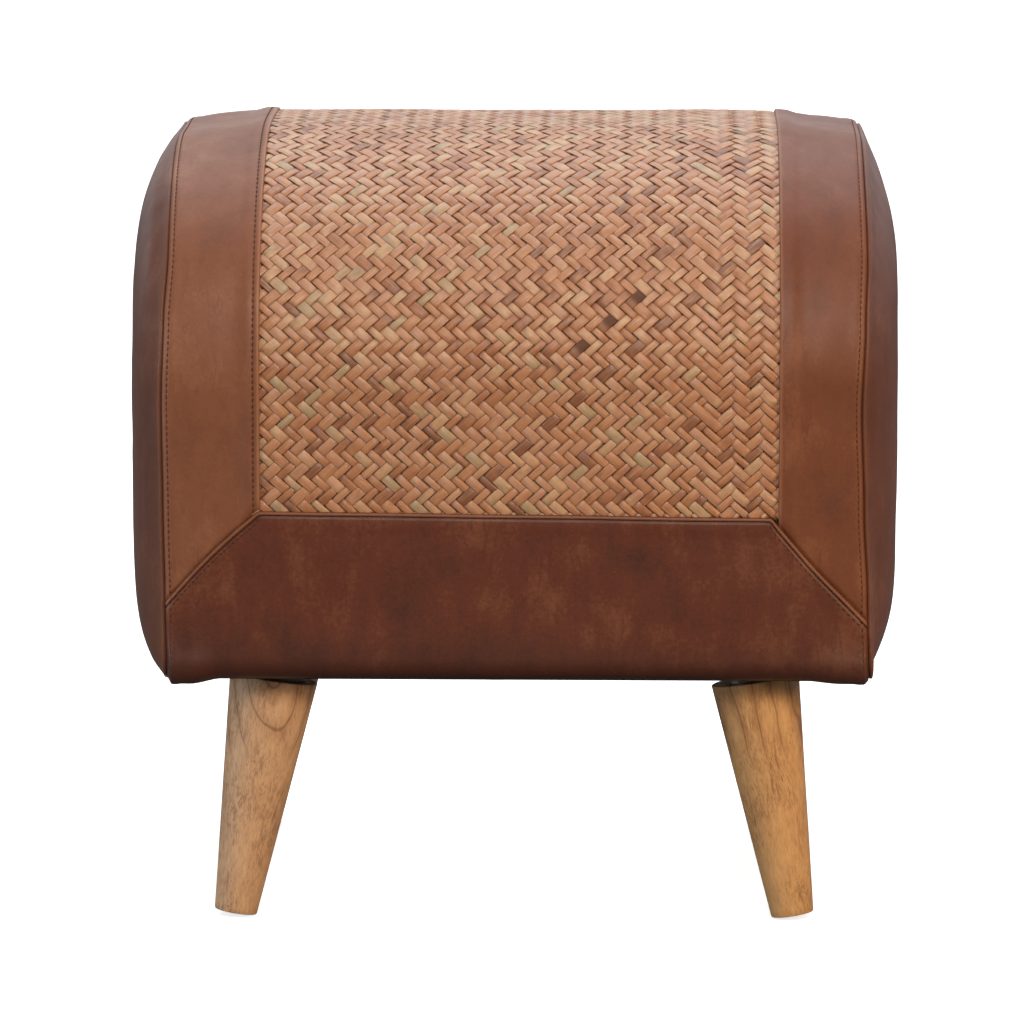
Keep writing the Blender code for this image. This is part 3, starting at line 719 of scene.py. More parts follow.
@dataclass(frozen=True)
class SteelFinish(Finish):
    """Steel painted near black to stand in for the shadow under the body, brushed and slightly cloudy."""

    def dress(self, g: Graph, shader: bpy.types.Node) -> None:
        """Fine scratches along X over a cloudy near-black colour, which is painted shade."""
        place = g.add("ShaderNodeTexCoord").outputs["Object"]
        brush = g.noise(g.stretch(place, (0.05, 1, 1)), 3000.0, 2.0, 0.6)
        cloud = g.noise(place, 160.0, 3.0, 0.6)
        # Painted shade: near-black colours stand in for the shadow on the plates and staples under the body.
        colour = g.mix(g.span(cloud, 0.3, 0.7), (0.075, 0.072, 0.070, 1), (0.13, 0.125, 0.12, 1))
        g.tree.links.new(colour, shader.inputs["Base Color"])
        g.tree.links.new(g.span(brush, 0.3, 0.7, 0.25, 0.48), shader.inputs["Roughness"])
        shader.inputs["Metallic"].default_value = 1.0
        self.bump(g, shader, brush, 0.00003, 0.5)


@dataclass(frozen=True)
class ThreadFinish(Finish):
    """Waxed sewing thread."""

    base: tuple = (0.12, 0.046, 0.022, 1.0)

    def dress(self, g: Graph, shader: bpy.types.Node) -> None:
        """One dye, uneven along the thread."""
        place = g.add("ShaderNodeTexCoord").outputs["Object"]
        uneven = g.noise(place, 600.0, 3.0, 0.6)
        dark = tuple(0.5 * part for part in self.base[:3]) + (1.0,)
        g.tree.links.new(g.mix(uneven, self.base, dark), shader.inputs["Base Color"])
        shader.inputs["Roughness"].default_value = 0.7
        shader.inputs["Specular IOR Level"].default_value = 0.2
        self.bump(g, shader, uneven, 0.0001, 0.6)


# Lit and shaded copies of one strip leather: the left one is lighter and the right one darker and redder,
# painted for how light falls on each side.
LEFT_STRIP_LEATHER = LeatherFinish("left_strip_leather", "leather", base=(0.230, 0.082, 0.038, 1),
                                   dark=(0.130, 0.044, 0.021, 1), worn=(0.40, 0.19, 0.10, 1))
RIGHT_STRIP_LEATHER = LeatherFinish("right_strip_leather", "leather", base=(0.180, 0.055, 0.022, 1),
                                    dark=(0.090, 0.027, 0.012, 1), worn=(0.35, 0.15, 0.07, 1))
BAND_LEATHER = LeatherFinish("band_leather", "leather", base=(0.125, 0.033, 0.016, 1),
                             dark=(0.050, 0.015, 0.009, 1), worn=(0.30, 0.12, 0.055, 1), mottle=1.35)
END_LEATHER = LeatherFinish("end_leather", "leather", base=(0.140, 0.042, 0.019, 1),
                            dark=(0.066, 0.021, 0.011, 1), worn=(0.33, 0.15, 0.08, 1))
STRANDS = StrandFinish("dried_stems", "woven", shades=(
    (0.00, (0.230, 0.088, 0.040, 1)), (0.20, (0.40, 0.160, 0.070, 1)), (0.42, (0.51, 0.232, 0.106, 1)),
    (0.60, (0.49, 0.238, 0.135, 1)), (0.80, (0.59, 0.340, 0.182, 1)), (1.00, (0.42, 0.290, 0.158, 1))))
LEG_WOOD = WoodFinish("oiled_hardwood", "leg_wood", light=(0.76, 0.46, 0.25, 1), mid=(0.48, 0.25, 0.125, 1),
                      pore=(0.15, 0.062, 0.030, 1), own_grain=True)
# A warmer, more orange copy of the leg wood for the right-hand legs: painted warm light from the right.
WARM_LIT_LEG_WOOD = WoodFinish("warm_lit_hardwood", "leg_wood", light=(0.74, 0.41, 0.165, 1),
                            mid=(0.44, 0.20, 0.070, 1), pore=(0.14, 0.055, 0.022, 1), own_grain=True)
PLYWOOD = WoodFinish("birch_plywood", "plywood", light=(0.62, 0.46, 0.30, 1), mid=(0.50, 0.35, 0.20, 1),
                     pore=(0.30, 0.19, 0.10, 1), pores=0.4, roughness=0.7)
SOFTWOOD = WoodFinish("sawn_softwood", "softwood", light=(0.68, 0.52, 0.33, 1), mid=(0.55, 0.37, 0.20, 1),
                      pore=(0.34, 0.20, 0.10, 1), pores=0.3, roughness=0.75)
FOAM = FoamFinish("padding_foam", "foam")
# Painted shade: the lining, seen only through the weave's gaps, is painted near black like the shade there.
LINING = ClothFinish("painted_shade_lining", "lining", base=(0.050, 0.028, 0.018, 1), dark=(0.018, 0.010, 0.007, 1))
DUST_CLOTH = ClothFinish("black_felt", "dust_cloth", base=(0.030, 0.030, 0.032, 1),
                         dark=(0.010, 0.010, 0.011, 1), threads=700.0)
# Steel painted near black, as the shadow under the body.
STEEL = SteelFinish("shade_darkened_steel", "steel")
THREAD = ThreadFinish("brown_thread", "leather")


# --------------------------------------------------------------------------- the woven panel

class Lean(Enum):
    """Which way a family of strands leans, seen from the front."""

    RISING = 1       # up to the right
    FALLING = -1     # down to the right


@dataclass
class WovenPanel:
    """Flat stems plaited two over, two under, on the slant, with a border where the pattern turns."""

    loaf: Loaf
    pitch: float = 5.55 * MM
    slant: float = math.radians(41.8)
    wide: float = 6.3 * MM
    narrow: float = 4.7 * MM
    lift: float = 0.50 * MM
    crown: float = 0.20 * MM
    half_thick: float = 0.16 * MM
    level: float = -0.85 * MM
    border: float = 45 * MM
    peak: float = 20 * MM
    margin: float = 4 * MM
    steps: int = 4
    seed: int = 5
    char_at: tuple = (0.2063, 0.109)
    char_reach: float = 0.032

    def __post_init__(self) -> None:
        """Works out the panel's size and where its lattice starts."""
        self.width = self.loaf.panel_right - self.loaf.panel_left
        self.start = float(self.loaf.run_at_height(self.loaf.band_top_left))
        self.height = self.loaf.length - 2.0 * self.start
        self.across_step = self.pitch / (2.0 * math.sin(self.slant))
        self.along_step = self.pitch / (2.0 * math.cos(self.slant))
        peaks = (self.width - self.peak) / self.across_step - 2.0
        self.phase = round(peaks + 0.5)
        self.shift = (peaks - self.phase + 0.5) * self.across_step

    def falling_on_top(self, rising: np.ndarray, falling: np.ndarray) -> np.ndarray:
        """Whether the falling strand lies on top at each crossing.

        Rows of the field change every second half step of height, which makes upright zigzags. In
        the border, columns change instead, which makes arrows that point up.

        Args:
            rising: Numbers of the rising strands.
            falling: Numbers of the falling strands.

        Returns:
            True where the falling strand is on top.
        """
        across = (falling - rising) * self.across_step
        rows = np.mod(rising + falling, 4) < 2
        columns = np.mod(falling - rising - self.phase, 4) < 2
        return np.where(across > self.width - self.border, columns, rows)

    def build(self) -> None:
        """Makes the strands of both families, the wide ones apart from the narrow ones."""
        for lean in Lean:
            for odd, label in ((0, "wide"), (1, "narrow")):
                piece = self.family(lean, odd, f"{lean.name.lower()}_{label}_strands")
                piece.build(STRANDS, BODY, "woven_panel")

    def family(self, lean: Lean, odd: int, name: str) -> Piece:
        """Every second strand of one family, as closed flat tubes.

        A strand's middle runs straight through the lattice. Its height follows the crossings,
        eased from one to the next and a little fuller where it stays on the same side.

        Args:
            lean: The family.
            odd: 0 for its wide strands, 1 for its narrow ones.
            name: The piece's name.

        Returns:
            The piece.
        """
        reach = int((self.width / self.across_step + self.height / self.along_step) / 2) + 6
        own = np.arange(-reach, reach * 2)
        own = own[np.mod(own, 2) == odd][:, None]
        other = np.arange(-reach * self.steps, reach * 2 * self.steps)[None, :] / self.steps
        rng = np.random.default_rng(self.seed + 17 * odd + 100 * (lean is Lean.RISING))
        count = len(own)
        jitter = rng.normal(0.0, 0.12 * MM, (count, 1))
        width = (self.narrow if odd else self.wide) * (1.0 + rng.normal(0.0, 0.05, (count, 1)))

        sign = lean.value
        u = (other - own) * sign * self.across_step + self.shift
        v = (other + own) * self.along_step
        inside = (u > -self.margin) & (u < self.width + self.margin)
        inside &= (v > -self.margin) & (v < self.height + self.margin)

        before, share = np.floor(other), np.mod(other, 1.0)
        first = self.side_of(lean, own, before)
        second = self.side_of(lean, own, before + 1)
        turn = first + (second - first) * smoothstep(share, 0.16, 0.84)
        full = np.where(first == second, first, 0.0) * np.sin(share * math.pi) * 0.38
        edge = np.minimum(np.minimum(u, self.width - u), np.minimum(v, self.height - v))
        height = self.level + self.lift * (turn + full) - 0.7 * MM * (1.0 - smoothstep(edge, 0.0, 4 * MM))
        wobble = jitter + 0.14 * MM * ripples(other * 1.0, own * 3.1, 9.0, 31 + odd)
        half = width / 2 * (1.0 + 0.05 * ripples(other * 1.0, own * 5.3, 6.0, 41 + odd))

        across = np.array([-1.0, -0.78, 0.0, 0.78, 1.0, 0.0])
        rise = np.array([0.0, 0.80, 1.0, 0.80, 0.0, -0.4]) * self.crown
        rise = rise + np.array([-1, 1, 1, 1, -1, -1]) * self.half_thick
        sine, cosine = math.sin(self.slant), math.cos(self.slant)
        offset = wobble[..., None] + half[..., None] * across
        points_u = u[..., None] - sign * sine * offset
        points_v = v[..., None] + cosine * offset
        points_h = height[..., None] + rise * np.where(odd, 0.85, 1.0)
        placed = self.loaf.place(self.loaf.panel_left + points_u, self.start + points_v, points_h)

        keep = np.zeros(inside.shape, dtype=int) - 1
        keep[inside] = np.arange(inside.sum())
        ring = len(across)
        here, there = keep[:, :-1], keep[:, 1:]
        joined = (here >= 0) & (there >= 0)
        a, b = here[joined][:, None] * ring, there[joined][:, None] * ring
        k = np.arange(ring)[None, :]
        n = (k + 1) % ring
        quads = np.stack([a + k, b + k, b + n, a + n], axis=-1).reshape(-1, 4)
        starts = keep[(keep >= 0) & (np.pad(keep, ((0, 0), (1, 0)), constant_values=-1)[:, :-1] < 0)] * ring
        ends = keep[(keep >= 0) & (np.pad(keep, ((0, 0), (0, 1)), constant_values=-1)[:, 1:] < 0)] * ring
        cap = np.arange(ring)
        faces = quads.tolist() + (starts[:, None] + cap).tolist() + (ends[:, None] + cap[::-1]).tolist()
        if lean is Lean.FALLING:
            faces = [face[::-1] for face in faces]

        length = other * 2.0 * self.pitch / (2.0 * math.sin(2.0 * self.slant))
        tone = np.clip(rng.normal(0.38 if odd else 0.54, 0.24, (count, 1)), 0.02, 0.98) + 0 * u
        # Painted shade mask: 'low' rises where the strand dips under its crossing strands, and the material
        # darkens it there.
        low = smoothstep(-(turn + full), -1.05, 1.0)
        char = np.zeros(u.shape)
        if lean is Lean.RISING:
            start_u, start_v = self.char_at
            nearest = round((start_v / self.along_step - (start_u - self.shift) / self.across_step) / 2)
            reached = 1.0 - smoothstep(np.abs(u - start_u), self.char_reach * 0.8, self.char_reach)
            late = np.where(first > 0, np.where(second > 0, smoothstep(share, -0.2, 0.5), 1.0), 0.0)
            char = np.where(own == nearest, reached * (0.35 + 0.65 * late), 0.0)
        spread = np.ones(ring)
        uv = np.stack([own[..., None] * 0.037 + half[..., None] * across,
                       (length + own * 0.61)[..., None] * spread], axis=-1)
        values = {"tone": tone[..., None] * spread, "low": low[..., None] * spread,
                  "char": char[..., None] * spread}
        return Piece(name, placed[inside], faces, {key: value[inside] for key, value in values.items()},
                     uv[inside])

    def side_of(self, lean: Lean, own: np.ndarray, other: np.ndarray) -> np.ndarray:
        """1 where a strand of the family lies on top at a crossing, -1 where it lies below."""
        rising, falling = (own, other) if lean is Lean.RISING else (other, own)
        falling_up = self.falling_on_top(rising, falling)
        return np.where(falling_up == (lean is Lean.FALLING), 1.0, -1.0)


# --------------------------------------------------------------------------- leather

@dataclass(frozen=True)
class Seam:
    """The profile of a sewn edge, as heights over the distance from it."""

    fold: float = 1.5 * MM
    fold_round: float = 1.0 * MM
    fold_reach: float = 9 * MM
    fold_stitch: float = 4.0 * MM
    dip: float = 1.2 * MM
    dip_round: float = 1.6 * MM
    end_stitch: float = 3.1 * MM
    stitch_pitch: float = 3.7 * MM
    lip: float = 2.4 * MM
    lip_rise: float = 1.25 * MM

    def folded(self, a: np.ndarray) -> np.ndarray:
        """Height over a turned-in edge: a quarter ellipse, a shelf and a ramp down."""
        edge = np.sqrt(np.clip(1.0 - np.clip(1.0 - a / self.fold_round, 0.0, 1.0) ** 2, 0.0, 1.0))
        shelf = 1.0 - smoothstep(a, self.fold_reach * 0.75, self.fold_reach * 1.6)
        return self.fold * edge * shelf

    def groove(self, a: np.ndarray) -> np.ndarray:
        """Depth of the groove that a topstitch pulls beside a turned-in edge."""
        return 0.40 * MM * np.exp(-((a - self.fold_stitch) / (0.75 * MM)) ** 2)

    def sunk(self, e: np.ndarray) -> np.ndarray:
        """Height beside an end seam: a rounded dip at the seam, a slight shelf and a stitch groove."""
        fall = 1.0 - np.sqrt(np.clip(1.0 - np.clip(1.0 - e / self.dip_round, 0.0, 1.0) ** 2, 0.0, 1.0))
        shelf = 0.45 * MM * (1.0 - smoothstep(e, 5 * MM, 9 * MM))
        groove = 0.30 * MM * np.exp(-((e - self.end_stitch) / (0.65 * MM)) ** 2)
        return shelf - self.dip * fall - groove

    def rolled(self, e: np.ndarray) -> np.ndarray:
        """Height over the band's narrow rolled lip: half an ellipse, a groove, a shelf and a ramp down."""
        half = self.lip / 2
        roll = self.lip_rise * np.sqrt(np.clip(1.0 - ((e - half) / half) ** 2, 0.0, 1.0))
        shelf = 0.55 * MM * smoothstep(e, self.lip * 1.15, self.lip * 1.7)
        shelf = shelf * (1.0 - smoothstep(e, 7 * MM, 13 * MM))
        return roll + shelf - 0.15 * MM * np.exp(-((e - self.lip * 1.1) / (0.4 * MM)) ** 2)

    def puckers(self, s: np.ndarray, distance: np.ndarray, reach: float = 2.2 * MM) -> np.ndarray:
        """Small gathers that the thread pulls along a row of stitches, fading away from it."""
        pulled = np.cos(2.0 * math.pi * s / self.stitch_pitch)
        return 0.11 * MM * pulled * np.exp(-(distance / reach) ** 2)


def steps_from(edge: tuple, reach: float, count: int) -> np.ndarray:
    """Distances from an edge: the close ones given, then even steps out to a reach."""
    near = np.array(edge) * MM
    return np.concatenate([near, np.linspace(near[-1], reach, count + 1)[1:]])


def creases(x: np.ndarray, s: np.ndarray, seed: int) -> np.ndarray:
    """Soft wrinkles of stretched hide: long waves up the face and shallow hollows."""
    tall = ripples(x, s * 0.22, 0.017, seed) * smoothstep(ripples(x, s, 0.11, seed + 1), -0.2, 0.9)
    return 0.22 * MM * tall + 0.30 * MM * ripples(x, s, 0.055, seed + 2)


FOLD_STEPS = (0.0, 0.0, 0.12, 0.4, 0.9, 1.6, 2.4, 3.1, 3.6, 4.0, 4.4, 5.0, 6.0, 7.5, 9.0, 11.0, 13.5)
SEAM_STEPS = (0.0, 0.15, 0.45, 0.9, 1.4, 1.9, 2.4, 2.8, 3.15, 3.5, 4.0, 5.0, 6.5, 8.5)
LIP_STEPS = (0.0, 0.0, 0.15, 0.5, 1.2, 1.9, 2.25, 2.4, 2.7, 3.1, 3.7, 4.4, 5.2, 6.5, 8.5, 11.0, 13.5)
EDGE_DEPTH = -1.4 * MM
WALL = 1.2 * MM


@dataclass
class BorderStrip:
    """Leather strip over the arch between the woven panel and an end seam, folded at the panel."""

    loaf: Loaf
    side: str
    seam: Seam = field(default_factory=Seam)
    overlap: float = 1.2 * MM
    under: float = 6 * MM
    rows: int = 560

    def __post_init__(self) -> None:
        """Finds the strip's fold and its direction away from the panel."""
        left = self.side == "left"
        self.out = -1.0 if left else 1.0
        edge = self.loaf.panel_left if left else self.loaf.panel_right
        self.fold_x = edge - self.out * self.overlap
        self.width = self.loaf.seam_x - abs(self.fold_x)
        self.topstitched = left

    def rise(self, x: np.ndarray, s: np.ndarray) -> np.ndarray:
        """Height of the strip's face: its folded edge and end seam, and sunk under the band's mitres."""
        a = (x - self.fold_x) * self.out
        e = self.width - a
        near = np.minimum(s, self.loaf.length - s)
        past = (near - self.loaf.band_edge(x)) * self.loaf.band_slope(x)
        height = self.seam.folded(a) + self.seam.sunk(e) + creases(x, s, 61 if self.out < 0 else 71)
        if self.topstitched:
            height = height - self.seam.groove(a) + self.seam.puckers(s, a - self.seam.fold_stitch)
        height = height + self.seam.puckers(s, e - self.seam.end_stitch)
        return height * smoothstep(past, 0.0, 6 * MM) - 1.5 * MM * (1.0 - smoothstep(past, -1 * MM, 2.5 * MM))

    def build(self) -> None:
        """Makes the strip and its two rows of stitches."""
        far = steps_from(SEAM_STEPS, self.width / 2, 8)
        a = np.concatenate([steps_from(FOLD_STEPS, self.width / 2, 5), self.width - far[::-1][1:]])
        x = (self.fold_x + self.out * a)[None, :]
        share = np.linspace(0.0, 1.0, self.rows)[:, None]
        first = self.loaf.band_edge(x) - self.under
        s = first + (self.loaf.length - 2.0 * first) * share
        height = self.rise(x, s)
        height[:, 0] = EDGE_DEPTH
        # Painted light on the strip: the folded edge and the ridge by the end seam are lighter (wear, partly
        # painted highlight). The topstitch groove, the end seam's dip and the tucked edge are darker (painted
        # shade).
        wear_and_shade = 0.8 * np.exp(-((a - 0.9 * MM) / (0.8 * MM)) ** 2)
        if self.topstitched:
            wear_and_shade = wear_and_shade - 0.5 * np.exp(-((a - self.seam.fold_stitch) / (0.7 * MM)) ** 2)
        wear_and_shade = wear_and_shade + 0.25 * np.exp(-((self.width - a - 1.9 * MM) / (0.7 * MM)) ** 2)
        wear_and_shade = wear_and_shade - 0.6 * np.exp(-((self.width - a) / (0.6 * MM)) ** 2)
        wear_and_shade = np.broadcast_to(np.where(np.arange(len(a)) == 0, -1.0, wear_and_shade), s.shape)
        quads = grid_quads(*s.shape)
        if self.out < 0:
            quads = quads[:, ::-1]
        strip = Piece(f"{self.side}_border_strip_leather", self.loaf.place(x, s, height), quads.tolist(),
                      {"wear_and_shade": wear_and_shade})
        # The right strip takes the darker copy: painted shade on that side.
        finish = RIGHT_STRIP_LEATHER if self.out > 0 else LEFT_STRIP_LEATHER
        thicken(strip.build(finish, BODY, f"{self.side}_border_strip"), WALL)

        rows = []
        inner = [self.seam.fold_stitch] if self.topstitched else []
        for a_row in inner + [self.width - self.seam.end_stitch]:
            x_row = self.fold_x + self.out * a_row
            first = float(self.loaf.band_edge(x_row)) + 2.5 * MM
            s_row = np.arange(first, self.loaf.length - first, self.seam.stitch_pitch)
            rows.append((np.full(s_row.shape, x_row), s_row))
        stitch(f"{self.side}_strip_stitches", self.loaf, rows, self.rise, (0.0, 1.0))


def stitch(name: str, loaf: Loaf, rows: list[tuple[np.ndarray, np.ndarray]], rise: object,
           along: tuple[float, float]) -> None:
    """Rows of stitches lying in their grooves: each a short spindle of six sides.

    Args:
        name: The piece's name.
        loaf: The body that they lie on.
        rows: Positions x and s of the stitches of each row.
        rise: Function of x and s that gives the leather's height there.
        along: Direction of the rows in x and s, where each row doesn't set its own.
    """
    rings = np.array([-1.35, -1.0, 0.0, 1.0, 1.35]) * MM
    girth = np.array([0.12, 0.30, 0.36, 0.30, 0.12]) * MM
    lift = np.array([-0.25, 0.05, 0.16, 0.05, -0.25]) * MM
    angles = np.linspace(0.0, 2.0 * math.pi, 6, endpoint=False)
    step = 0.5 * MM
    solids = []
    for x, s in rows:
        if len(x) > 1 and np.ptp(x) > MM:
            dx, ds = np.gradient(x), np.gradient(s)
            norm = np.hypot(dx, ds)
            dx, ds = dx / norm, ds / norm
        else:
            dx, ds = np.full(x.shape, along[0]), np.full(x.shape, along[1])
        centre = loaf.place(x, s, rise(x, s))
        ahead = loaf.place(x + dx * step, s + ds * step, rise(x + dx * step, s + ds * step)) - centre
        beside = loaf.place(x + ds * step, s - dx * step, rise(x + ds * step, s - dx * step)) - centre
        ahead /= np.linalg.norm(ahead, axis=-1, keepdims=True)
        beside /= np.linalg.norm(beside, axis=-1, keepdims=True)
        up = np.cross(beside, ahead)
        up /= np.linalg.norm(up, axis=-1, keepdims=True)
        body = (ahead[:, None, None] * rings[:, None, None]
                + beside[:, None, None] * (girth[:, None] * np.cos(angles))[..., None]
                + up[:, None, None] * (lift[:, None] + girth[:, None] * np.sin(angles))[..., None])
        solids.append((centre[:, None, None] + body).reshape(len(x), -1, 3))
    points = np.concatenate(solids)
    sides = grid_quads(len(rings), len(angles), wrap=True)[:, ::-1]
    cap = np.arange(len(angles))
    base = np.arange(len(points)) * len(rings) * len(angles)
    faces = (base[:, None, None] + sides).reshape(-1, 4).tolist()
    faces += (base[:, None] + cap).tolist()
    faces += (base[:, None] + cap[::-1] + (len(rings) - 1) * len(angles)).tolist()
    Piece(name, points, faces).build(THREAD, BODY)


@dataclass
class Band:
    """Leather band along the foot of the front or the back, mitred to the strips under a rolled lip."""

    loaf: Loaf
    side: str
    seam: Seam = field(default_factory=Seam)
    droop_left: float = 4.6 * MM
    droop_right: float = 2.8 * MM
    mitre_stitch: float = 4.6 * MM

    def rise(self, x: np.ndarray, s: np.ndarray) -> np.ndarray:
        """Height of the band's face: rolled lip above, end seams at both sides, heavy lower corners."""
        edge = self.loaf.band_edge(x)
        e = (edge - s) * self.loaf.band_slope(x)
        side = self.loaf.seam_x - np.abs(x)
        height = self.seam.rolled(e) + self.seam.sunk(side) * smoothstep(e, 0.0, 3 * MM)
        height = height + creases(x * 0.4, s, 81) * smoothstep(e, 3 * MM, 12 * MM)
        corner = (self.loaf.runs[1] + self.loaf.runs[2]) / 2
        hang = np.exp(-((s - corner) / (14 * MM)) ** 2) * (1.0 - smoothstep(side, 14 * MM, 36 * MM))
        droop = np.where(x < 0, self.droop_left, self.droop_right)
        height = height + droop * hang * smoothstep(side, 0.0, 3 * MM)
        height = height + self.seam.puckers(s, side - self.seam.end_stitch)
        on_mitre = 1.0 - smoothstep(side, 0.04, 0.05)
        return height + self.seam.puckers(x * 1.4, e - self.mitre_stitch) * on_mitre

    def build(self) -> None:
        """Makes the band and its stitches."""
        near = steps_from(SEAM_STEPS, 14 * MM, 3)
        middle = np.linspace(-self.loaf.seam_x + 14 * MM, self.loaf.seam_x - 14 * MM, 150)[1:-1]
        corners = [self.loaf.panel_left + shift for shift in (-0.6 * MM, 0.6 * MM)]
        corners += [self.loaf.mitre_right + shift for shift in (-0.6 * MM, 0.6 * MM)]
        x = np.sort(np.concatenate([-self.loaf.seam_x + near, middle, corners,
                                    self.loaf.seam_x - near]))[None, :]
        e = (np.array(LIP_STEPS) * MM)[:, None]
        edge = self.loaf.band_edge(x)
        top = edge - e / self.loaf.band_slope(x)
        share = np.linspace(0.0, 1.0, 56)[1:, None]
        s = np.concatenate([top, top[-1:] * (1.0 - share)])
        height = self.rise(x, s)
        height[0] = EDGE_DEPTH
        spread = (edge - s) * self.loaf.band_slope(x)
        side = self.loaf.seam_x - np.abs(x)
        # Painted light on the band: the rolled lip is lighter (wear, partly painted highlight), with a dark
        # line under it as its painted shadow. A lighter ridge and a darker dip mark the end seams, and the
        # tucked top edge is darkest (painted shade).
        wear_and_shade = 0.95 * np.exp(-((spread - 1.1 * MM) / (0.8 * MM)) ** 2)
        wear_and_shade = wear_and_shade - 0.9 * np.exp(-((spread - 2.7 * MM) / (0.45 * MM)) ** 2)
        wear_and_shade = wear_and_shade + 0.25 * np.exp(-((side - 1.9 * MM) / (0.7 * MM)) ** 2)
        wear_and_shade = wear_and_shade - 0.6 * np.exp(-(side / (0.6 * MM)) ** 2)
        # Painted shade: the band is darkest at its foot and fades out 22 mm up the upright face, where it
        # curls under the body.
        wear_and_shade = wear_and_shade - 1.0 * (1.0 - smoothstep(s, self.loaf.runs[1], self.loaf.runs[2] + 22 * MM))
        wear_and_shade[0] = -1.0
        points = self.loaf.place(x, s, height)
        faces = grid_quads(*s.shape)
        if self.side == "back":
            points = points * (1.0, -1.0, 1.0)
        else:
            faces = faces[:, ::-1]
        piece = Piece(f"{self.side}_band_leather", points, faces.tolist(), {"wear_and_shade": wear_and_shade})
        thicken(piece.build(BAND_LEATHER, BODY, f"{self.side}_band"), WALL)
        self.stitches()

    def stitches(self) -> None:
        """Rows down both end seams and along both mitres."""
        rows = []
        for out in (-1.0, 1.0):
            x_row = out * (self.loaf.seam_x - self.seam.end_stitch)
            top = float(self.loaf.band_edge(x_row)) - 6 * MM
            s_row = np.arange(self.loaf.runs[1], top, self.seam.stitch_pitch)
            rows.append((np.full(s_row.shape, x_row), s_row))
            inner = self.loaf.panel_left if out < 0 else self.loaf.mitre_right
            run = self.loaf.seam_x - abs(inner)
            count = int(run / 0.7 / self.seam.stitch_pitch)
            x_mitre = inner + out * (run - 5 * MM) * np.linspace(0.0, 1.0, count)
            drop = self.mitre_stitch / self.loaf.band_slope(x_mitre)
            rows.append((x_mitre, self.loaf.band_edge(x_mitre) - drop))
        if self.side == "back":
            rows = [(x, self.loaf.length - s) for x, s in rows]
        stitch(f"{self.side}_band_stitches", self.loaf, rows,
               lambda x, s: self.rise(x, np.minimum(s, self.loaf.length - s)), (0.0, 1.0))


